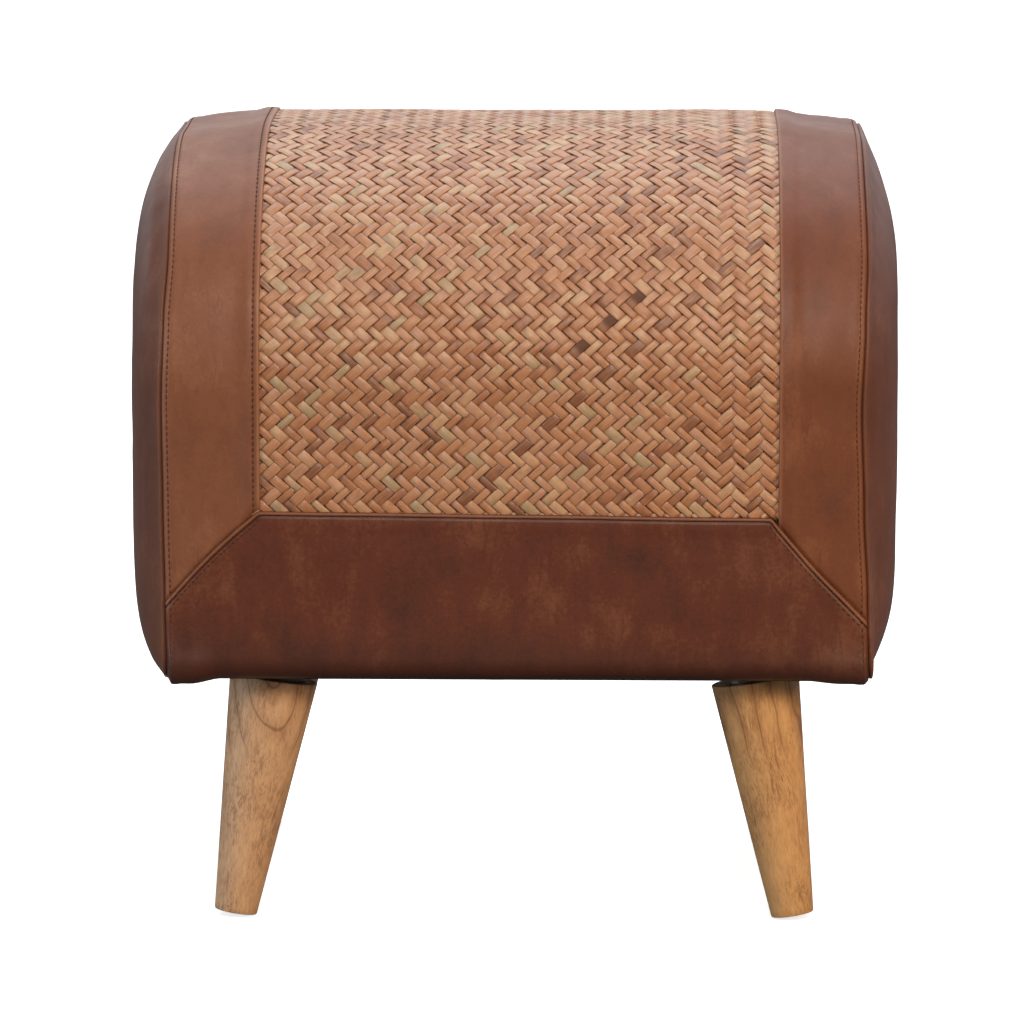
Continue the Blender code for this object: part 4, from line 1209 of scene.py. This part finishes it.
@dataclass
class EndPanel:
    """Padded leather end: a pillow inside the arch-shaped seam, fuller above than below."""

    loaf: Loaf
    side: str
    seam: Seam = field(default_factory=Seam)
    roll: float = 0.075
    fullness: ClassVar[dict[str, float]] = {"left": 2.4, "right": 2.0}
    lip: float = 2.5 * MM
    gather: float = 0.9 * MM
    inner_rings: int = 14
    pressure: float = 1.6
    spare: float = 0.035
    cap: float = 0.35 * MM
    wall: float = 0.9 * MM
    frames: int = 20
    least: float = -0.5 * MM
    dome: float = 0.3 * MM
    hollow: float = 0.3 * MM
    wander_fade: float = 13 * MM
    held_until: float = 0.5 * MM
    free_from: float = 9 * MM
    hide_mass: float = 0.3
    stretch_stiffness: float = 18.0
    shear_stiffness: float = 8.0
    bend_stiffness: float = 1.2
    quality: int = 6

    def outline(self, inset: np.ndarray, bottom: np.ndarray,
                corner: np.ndarray) -> tuple[np.ndarray, np.ndarray]:
        """Closed arch outlines: two foot corners and two shoulders as arcs, joined by straight runs.

        Args:
            inset: Distance of each outline inside the body's arch, as a column.
            bottom: Height of each outline's foot.
            corner: Radius of each outline's foot corners.

        Returns:
            Arrays y and z with one row for each outline.
        """
        half = self.loaf.half_depth - inset
        top = self.loaf.top - inset
        shoulder = self.loaf.shoulder_r - inset
        foot = np.linspace(1.5 * math.pi, math.pi, 13)[None, :]
        arc = np.linspace(math.pi, 0.5 * math.pi, 49)[None, :]
        rise = np.linspace(0.0, 1.0, 30)[None, 1:-1]
        foot_y = -half + corner + corner * np.cos(foot)
        foot_z = bottom + corner + corner * np.sin(foot)
        arc_y = -half + shoulder + shoulder * np.cos(arc)
        arc_z = top - shoulder + shoulder * np.sin(arc)
        side_y = foot_y[:, -1:] + (arc_y[:, :1] - foot_y[:, -1:]) * rise
        side_z = foot_z[:, -1:] + (arc_z[:, :1] - foot_z[:, -1:]) * rise
        y = np.concatenate([foot_y, side_y, arc_y], axis=1)
        z = np.concatenate([foot_z, side_z, arc_z], axis=1)
        crown = np.linspace(0.0, 1.0, 16)[None, 1:-1]
        base = np.linspace(0.0, 1.0, 60)[None, 1:-1]
        crown_y = y[:, -1:] * (1.0 - 2.0 * crown)
        base_y = -y[:, :1] * (1.0 - 2.0 * base)
        flat = np.ones_like(crown)
        y = np.concatenate([y, crown_y, -y[:, ::-1], base_y], axis=1)
        z = np.concatenate([z, z[:, -1:] * flat, z[:, ::-1], z[:, :1] * np.ones_like(base)], axis=1)
        return y, z

    def build(self) -> None:
        """Makes the panel: seam dip, roll, and a slightly domed middle closed at its centre."""
        bulge = self.loaf.end_x - self.loaf.seam_x
        dip = self.seam.dip
        turn = np.linspace(0.0, 1.0, 7)[:-1]
        lip_in = dip * (1.0 - np.sin(turn * math.pi / 2))
        lip_out = self.lip * 0.8 * (1.0 - np.cos(turn * math.pi / 2)) + 0.1 * MM
        share = np.concatenate([np.array([0.0, 0.01, 0.022, 0.04, 0.06]), np.linspace(0.085, 1.0, 36)])
        along = share * self.roll
        rise = self.lip + (bulge - self.lip) * (1.0 - (1.0 - share) ** self.fullness[self.side])
        inset = np.concatenate([self.loaf.seam_drop + lip_in, self.loaf.seam_drop + along])[:, None]
        out = np.concatenate([lip_out, rise])[:, None]
        reach = np.concatenate([np.zeros(len(turn)), along])[:, None]
        bottom = (self.loaf.underside + np.concatenate([lip_in, np.zeros(len(along))])[:, None] * 0.6
                  + reach * 0.6)
        y, z = self.outline(inset, bottom, self.loaf.corner_r + reach * 0.4)
        centre = np.array([0.0, z[-1].mean()])
        shrink = np.linspace(1.0, 0.0, self.inner_rings + 1)[1:-1, None]
        y = np.concatenate([y, y[-1:] * shrink])
        z = np.concatenate([z, centre[1] + (z[-1:] - centre[1]) * shrink])
        dome = self.dome * (1.0 - shrink ** 2)
        x = np.concatenate([np.broadcast_to(out, (len(out), y.shape[1])),
                            out[-1] + dome + 0.0 * y[:len(dome)]])
        depth = np.concatenate([reach, np.full((len(dome), 1), self.roll)])
        x = x + np.clip(self.unevenness(y, z, depth), self.least, 0.0)
        sign = -1.0 if self.side == "left" else 1.0
        stray = self.loaf.wander(np.full(z.shape, sign * self.loaf.seam_x), z)
        stray = stray * (1.0 - smoothstep(depth, 0.0, self.wander_fade))
        points = np.stack([sign * (self.loaf.seam_x + x) + stray, y, z], axis=-1).reshape(-1, 3)
        pole = np.array([[sign * (self.loaf.seam_x + x[-1].mean()), centre[0], centre[1]]])
        points = np.concatenate([points, pole])
        rows, cols = y.shape
        faces = grid_quads(rows, cols, wrap=True)
        last = (rows - 1) * cols + np.arange(cols)
        fan = np.stack([last, np.roll(last, -1), np.full(cols, rows * cols)], axis=-1)
        if sign > 0:
            faces, fan = faces[:, ::-1], fan[:, ::-1]
        # Painted light at the end seam: the seam's dip is darker (painted shade), and the lip's crown and
        # just inside it are lighter (wear, partly painted highlight).
        wear_and_shade = np.concatenate([np.interp(turn, [0.0, 0.5, 1.0], [-0.6, -0.3, 0.25]),
                              0.25 * np.exp(-along / (2.5 * MM)), np.zeros(len(dome))])
        wear_and_shade = np.append(np.repeat(wear_and_shade, cols), 0.0)
        faces = faces.tolist() + fan.tolist()
        firm = 1.0 - smoothstep(depth[:, 0], self.held_until, self.free_from)
        held = np.append(np.repeat(firm, cols), 0.0)
        travel = sign * (self.inflate(points, faces, held) - points)[:, 0]
        points[:, 0] += sign * self.folds(travel, rows, cols)
        panel = Piece(f"{self.side}_end_leather", points, faces, {"wear_and_shade": wear_and_shade})
        obj = panel.build(END_LEATHER, BODY, f"{self.side}_end_cover")
        thicken(obj, self.wall)

    def inflate(self, points: np.ndarray, faces: list[list[int]], held: np.ndarray) -> np.ndarray:
        """Swells the leather over its pad by cloth simulation, held at its seam.

        The hide is cut a little larger than the form, so that it draws up in soft folds.

        Args:
            points: The panel's points.
            faces: Its faces.
            held: How firmly each point is held, from 0 to 1.

        Returns:
            The moved points.
        """
        mesh = bpy.data.meshes.new("pad")
        mesh.from_pydata(points.tolist(), [], faces)
        obj = bpy.data.objects.new("pad", mesh)
        bpy.context.scene.collection.objects.link(obj)
        pins = obj.vertex_groups.new(name="held")
        for number in np.flatnonzero(held > 0.0).tolist():
            pins.add([number], float(held[number]), "REPLACE")
        modifier = obj.modifiers.new("cloth", "CLOTH")
        cloth = modifier.settings
        cloth.quality = self.quality
        cloth.mass = self.hide_mass
        cloth.tension_stiffness = cloth.compression_stiffness = self.stretch_stiffness
        cloth.shear_stiffness = self.shear_stiffness
        cloth.bending_stiffness = self.bend_stiffness
        cloth.vertex_group_mass = pins.name
        cloth.use_pressure = True
        cloth.uniform_pressure_force = self.pressure
        cloth.shrink_min = -self.spare
        cloth.effector_weights.gravity = 0.0
        modifier.point_cache.frame_end = self.frames
        modifier.collision_settings.use_collision = False
        for frame in range(1, self.frames + 1):
            bpy.context.scene.frame_set(frame)
        swollen = obj.evaluated_get(bpy.context.evaluated_depsgraph_get()).to_mesh()
        moved = np.empty(len(points) * 3)
        swollen.vertices.foreach_get("co", moved)
        bpy.data.objects.remove(obj)
        bpy.data.meshes.remove(mesh)
        bpy.context.scene.frame_set(1)
        return moved.reshape(-1, 3)

    def folds(self, travel: np.ndarray, rows: int, cols: int) -> np.ndarray:
        """Inward folds, from nothing to twice the cap.

        Each ring's travel less its median is squashed by a hyperbolic tangent, shifted so that its
        fullest point stays where it is and the rest lies inside, one cap deep at the median.

        Args:
            travel: How far each point swelled outwards along X, the pole last.
            rows: Number of rings.
            cols: Points in each ring.

        Returns:
            Offsets outwards along X, never above zero, for every point.
        """
        rings = travel[:-1].reshape(rows, cols)
        uneven = rings - np.median(rings, axis=1, keepdims=True)
        typical = np.percentile(np.abs(uneven), 90)
        LOG.info("%s pad: swelled up to %.1f mm, folds of %.1f mm", self.side, rings.max() / MM, typical / MM)
        uneven = self.cap * (np.tanh(uneven / max(typical, self.cap)) - 1.0)
        return np.append(uneven, uneven[-1].mean())

    def unevenness(self, y: np.ndarray, z: np.ndarray, depth: np.ndarray) -> np.ndarray:
        """Gathers that fan in from the seam and soft hollows over the middle, in metres along X."""
        seed = 101 if self.side == "left" else 131
        angle = np.arctan2(z - self.loaf.underside - 0.14, y)
        fan = ripples(angle * 0.16, np.zeros_like(angle), 0.013, seed) * np.exp(-depth / (16 * MM))
        fan = fan * smoothstep(depth, 0.5 * MM, 5 * MM)
        hollows = ripples(y, z, 0.07, seed + 1) * smoothstep(depth, 2 * MM, 40 * MM)
        return self.gather * fan + self.hollow * hollows


# --------------------------------------------------------------------------- legs

@dataclass
class TurnedLeg:
    """A plain tapered leg, turned round its own axis, with a softened top and a sole cut square."""

    name: str
    top: Vector
    down: Vector
    top_r: float = 0.0270
    foot_r: float = 0.0130
    ease: float = 0.7 * MM
    sides: int = 96
    seed: int = 0
    wood: WoodFinish = LEG_WOOD

    def build(self) -> None:
        """Makes the leg as a surface of revolution: radius over distance down the axis."""
        down = np.array(self.down)
        low = -np.array([0.0, 0.0, 1.0]) + down * down[2]
        low = low / np.linalg.norm(low)
        side = np.cross(-down, low)
        fall = -down[2]
        length = (self.top[2] - self.foot_r * math.sqrt(1.0 - fall ** 2)) / fall
        taper = np.linspace(self.ease, length - self.ease, 40)
        radius = self.top_r + (self.foot_r - self.top_r) * taper / length
        along = np.concatenate([[0.0, 0.0], taper[:1] * 0.3, taper,
                                [length - self.ease * 0.3, length, length]])
        ring = np.concatenate([[0.0, self.top_r - self.ease], [self.top_r - self.ease * 0.25], radius,
                               [self.foot_r - self.ease * 0.25, self.foot_r - self.ease * 0.5, 0.0]])
        angles = np.linspace(0.0, 2.0 * math.pi, self.sides, endpoint=False)
        wave = 0.05 * MM * ripples(along[:, None], angles[None, :] * 0.01, 0.05, 7 + self.seed)
        r = np.where(ring[:, None] > 0.001, ring[:, None] + wave, ring[:, None])
        a, b = r * np.cos(angles), r * np.sin(angles)
        points = (np.array(self.top) + a[..., None] * low + b[..., None] * side
                  + along[:, None, None] * down)
        faces = grid_quads(len(along), self.sides, wrap=True)[:, ::-1]
        grain = np.stack([a, b, np.broadcast_to(-along[:, None], a.shape)], axis=-1)
        grain = grain + np.array([0.31, 0.17, 0.0]) * self.seed
        points, faces, grain = close_poles(points, faces, grain, self.sides)
        leg = Piece(f"{self.name}_turned", points, faces, {"grain": grain})
        leg.build(self.wood, self.name, self.name)


def close_poles(points: np.ndarray, quads: np.ndarray, grain: np.ndarray,
                sides: int) -> tuple[np.ndarray, list[list[int]], np.ndarray]:
    """Joins the first and the last ring of a turned grid, which lie on its axis, into single points."""
    rows = points.shape[0]
    number = np.arange(rows * sides)
    number[:sides] = 0
    number[-sides:] = (rows - 1) * sides
    kept, packed = np.unique(number, return_inverse=True)
    faces = [list(dict.fromkeys(face)) for face in packed[quads].tolist()]
    return points.reshape(-1, 3)[kept], faces, grain.reshape(-1, 3)[kept]


# --------------------------------------------------------------------------- the underside

@dataclass
class Underside:
    """What shows from below: the end panels' tucked edges and the staples through the dust cover."""

    loaf: Loaf
    tuck: float = 27 * MM
    wall: float = 1.3 * MM
    crown: float = 10 * MM
    wire: float = 0.6 * MM

    def build(self) -> None:
        """Makes both tucks and the staples."""
        for side, sign in (("left", -1.0), ("right", 1.0)):
            self.tuck_under(side, sign)
        self.staples()

    def tuck_under(self, side: str, sign: float) -> None:
        """Leather turned under the base from an end panel: a flat strip with shallow pleats."""
        across = np.linspace(0.0, 1.0, 16)[:, None]
        y = np.linspace(-1.0, 1.0, 150)[None, :] * (self.loaf.half_depth - self.loaf.seam_drop - 4 * MM)
        x = self.loaf.seam_x + 0.6 * MM - across * self.tuck
        pleats = np.abs(ripples(y, x * 0.2, 0.022, 151)) * 0.35 * MM
        z = self.loaf.underside + 0.15 * MM + pleats + 1.2 * MM * np.exp(-across * 14.0)
        x, y, z = np.broadcast_arrays(sign * x, y, z)
        faces = grid_quads(*z.shape)
        if sign > 0:
            faces = faces[:, ::-1]
        # The whole tuck is painted a little darker, as shade under the base.
        wear_and_shade = np.full(z.shape, -0.2)
        piece = Piece(f"{side}_end_tuck", np.stack([x, y, z], axis=-1), faces.tolist(), {"wear_and_shade": wear_and_shade})
        thicken(piece.build(END_LEATHER, BODY), self.wall)

    def staples(self) -> None:
        """Staples near the dust cover's edge: each a flat wire with two short legs into the base."""
        low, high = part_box("dust_cover")
        inset, pitch = 7 * MM, 38 * MM
        span_x, span_y = high[0] - inset, high[1] - inset
        count_x, count_y = int(2 * span_x / pitch), int(2 * span_y / pitch)
        along_x = np.linspace(-span_x + 12 * MM, span_x - 12 * MM, count_x)
        along_y = np.linspace(-span_y + 12 * MM, span_y - 12 * MM, count_y)
        spots = [(x, s * span_y, 0.0) for x in along_x for s in (-1, 1)]
        spots += [(s * span_x, y, math.pi / 2) for y in along_y for s in (-1, 1)]
        spots = np.array(spots)
        half, depth, wire = self.crown / 2, 2.5 * MM, self.wire
        path = np.array([[-half, depth], [-half, 0.15 * MM], [-half + 0.6 * MM, -0.35 * MM],
                         [half - 0.6 * MM, -0.35 * MM], [half, 0.15 * MM], [half, depth]])
        corner = np.array([[-0.5, -0.5], [0.5, -0.5], [0.5, 0.5], [-0.5, 0.5]]) * wire
        normal = np.array([[-1, 0], [-0.8, -0.5], [-0.3, -1], [0.3, -1], [0.8, -0.5], [1, 0]], float)
        normal /= np.linalg.norm(normal, axis=1, keepdims=True)
        ring_x = path[:, :1] + normal[:, :1] * corner[None, :, 0]
        ring_z = path[:, 1:] + normal[:, 1:] * corner[None, :, 0]
        ring_y = np.broadcast_to(corner[None, :, 1], ring_x.shape)
        turn = spots[:, 2][:, None, None]
        x = spots[:, 0][:, None, None] + ring_x * np.cos(turn) - ring_y * np.sin(turn)
        y = spots[:, 1][:, None, None] + ring_x * np.sin(turn) + ring_y * np.cos(turn)
        z = low[2] + ring_z + 0.0 * x
        sides = grid_quads(len(path), 4, wrap=True)
        cap = np.arange(4)
        base = np.arange(len(spots)) * len(path) * 4
        faces = (base[:, None, None] + sides).reshape(-1, 4).tolist()
        faces += (base[:, None] + cap[::-1]).tolist()
        faces += (base[:, None] + cap + (len(path) - 1) * 4).tolist()
        Piece("dust_cover_staples", np.stack([x, y, z], axis=-1), faces).build(STEEL, BODY)


# --------------------------------------------------------------------------- studio

@dataclass
class Studio:
    """Pale floor, soft lights and the camera."""

    distance: float = 3.8
    height: float = 0.920
    yaw: float = math.radians(1.24)
    lens: float = 217.4
    aim: tuple = (-0.0039, 0.0, 0.2284)

    def build(self) -> None:
        """Sets up the floor, the sky, the lights and the camera."""
        self.floor()
        self.world()
        self.light("overhead", (0.0, 0.35, 1.9), (0.0, 0.05, 0.45), (2.2, 1.6), 26.0, (0.76, 0.90, 1.0))
        self.light("key", (0.3, -2.8, 1.85), (0.0, -0.1, 0.22), (0.8, 0.8), 45.0, (1.0, 0.89, 0.78))
        self.light("warm_side", (1.8, -1.6, 0.80), (0.0, -0.1, 0.05), (0.5, 0.5), 20.0, (1.0, 0.70, 0.42))
        self.light("cool_rim", (-2.1, -0.8, 0.4), (-0.1, 0.0, 0.2), (0.7, 0.9), 14.0, (0.76, 0.89, 1.0))
        self.camera()
        view = bpy.context.scene.view_settings
        view.view_transform = "Standard"
        view.look = "None"

    def floor(self) -> None:
        """A wide sheet of pale floor, which throws back less light than it shows and is clear from below."""
        x = np.linspace(-9.0, 9.0, 3)[None, :]
        y = np.linspace(-7.0, 11.0, 3)[:, None]
        x, y = np.broadcast_arrays(x, y)
        mesh = bpy.data.meshes.new("floor")
        mesh.from_pydata(np.stack([x, y, 0.0 * x], axis=-1).reshape(-1, 3).tolist(), [],
                         grid_quads(*x.shape).tolist())
        obj = bpy.data.objects.new("floor", mesh)
        bpy.context.scene.collection.objects.link(obj)
        paint = bpy.data.materials.new("pale_floor")
        paint.use_nodes = True
        g = Graph(paint.node_tree)
        seen = g.add("ShaderNodeLightPath").outputs["Is Camera Ray"]
        shader = paint.node_tree.nodes["Principled BSDF"]
        colour = g.mix(seen, (0.16, 0.15, 0.14, 1.0), (0.90, 0.90, 0.90, 1.0))
        paint.node_tree.links.new(colour, shader.inputs["Base Color"])
        away = g.add("ShaderNodeVectorMath", {0: g.add("ShaderNodeTexCoord").outputs["Object"]},
                     operation="LENGTH").outputs["Value"]
        glow = g.math("MULTIPLY", seen, g.span(away, 0.3, 2.2, 0.72, 0.95))
        paint.node_tree.links.new(glow, shader.inputs["Emission Strength"])
        below = g.math("MULTIPLY", seen, g.add("ShaderNodeNewGeometry").outputs["Backfacing"])
        paint.node_tree.links.new(g.math("SUBTRACT", 1.0, below), shader.inputs["Alpha"])
        shader.inputs["Emission Color"].default_value = (1.0, 1.0, 1.0, 1.0)
        shader.inputs["Roughness"].default_value = 0.9
        shader.inputs["Specular IOR Level"].default_value = 0.2
        mesh.materials.append(paint)

    def world(self) -> None:
        """White to look at, and as a light a dim room before a bright backdrop and ceiling."""
        world = bpy.data.worlds.new("studio")
        world.use_nodes = True
        g = Graph(world.node_tree)
        way = g.add("ShaderNodeSeparateXYZ", {0: g.add("ShaderNodeTexCoord").outputs["Generated"]})
        room = g.mix(g.span(way.outputs["Z"], 0.1, 0.9), (0.11, 0.10, 0.095, 1.0), (0.30, 0.32, 0.34, 1.0))
        room = g.mix(g.span(way.outputs["Y"], 0.15, 0.75), room, (0.92, 0.97, 1.04, 1.0))
        seen = g.add("ShaderNodeLightPath").outputs["Is Camera Ray"]
        shown = g.mix(seen, room, (1.0, 1.0, 1.0, 1.0))
        background = world.node_tree.nodes["Background"]
        world.node_tree.links.new(shown, background.inputs["Color"])
        background.inputs["Strength"].default_value = 1.0
        bpy.context.scene.world = world

    @staticmethod
    def light(name: str, place: tuple, aim: tuple, size: tuple, power: float, colour: tuple) -> None:
        """A soft rectangular light turned towards a point."""
        lamp = bpy.data.lights.new(name, "AREA")
        lamp.shape = "RECTANGLE"
        lamp.size, lamp.size_y = size
        lamp.energy = power
        lamp.color = colour
        obj = bpy.data.objects.new(name, lamp)
        obj.location = place
        obj.rotation_euler = (Vector(aim) - Vector(place)).to_track_quat("-Z", "Y").to_euler()
        bpy.context.scene.collection.objects.link(obj)

    def camera(self) -> None:
        """A long lens in front, a little to the right and above."""
        lens = bpy.data.cameras.new("camera")
        lens.lens = self.lens
        lens.sensor_width = 36.0
        lens.clip_end = 50.0
        camera = bpy.data.objects.new("camera", lens)
        place = Vector((math.sin(self.yaw), -math.cos(self.yaw), 0.0)) * self.distance
        place.z = self.height
        camera.location = place
        camera.rotation_euler = (Vector(self.aim) - place).to_track_quat("-Z", "Y").to_euler()
        bpy.context.scene.collection.objects.link(camera)
        bpy.context.scene.camera = camera


SLOT_FINISHES = {"plywood": PLYWOOD, "softwood": SOFTWOOD, "foam": FOAM, "lining": LINING,
                 "dust_cloth": DUST_CLOTH, "steel": STEEL, "leather": LEFT_STRIP_LEATHER, "woven": STRANDS,
                 "leg_wood": LEG_WOOD}


def dress_packed_nodes(frame: dict) -> None:
    """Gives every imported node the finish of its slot, so that the hidden pieces are finished too."""
    slots = {part["node"]: part["material_slot"] for part in frame["record"]["subparts"]}
    for name, obj in frame["nodes"].items():
        finish = SLOT_FINISHES[slots[name]]
        obj.data.materials.clear()
        obj.data.materials.append(finish.material())
        LOG.info("%s: packed node in %s", name, finish.name)


def main() -> None:
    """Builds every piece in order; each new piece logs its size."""
    logging.basicConfig(level=logging.INFO, format="%(message)s")
    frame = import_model()
    loaf = Loaf.from_frame()
    Studio().build()
    dress_packed_nodes(frame)
    WovenPanel(loaf).build()
    for side in ("left", "right"):
        BorderStrip(loaf, side).build()
        EndPanel(loaf, side).build()
    for side in ("front", "back"):
        Band(loaf, side).build()
    for number, joint in enumerate(frame["joints"]):
        # The right-hand legs take the warm-lit copy of the wood: painted light from the right.
        wood = WARM_LIT_LEG_WOOD if "right" in joint["child"] else LEG_WOOD
        TurnedLeg(joint["child"], Vector(joint["pos_m"]), Vector(joint["axis"]).normalized(), seed=number,
                  wood=wood).build()
    Underside(loaf).build()


if __name__ == "__main__":
    main()
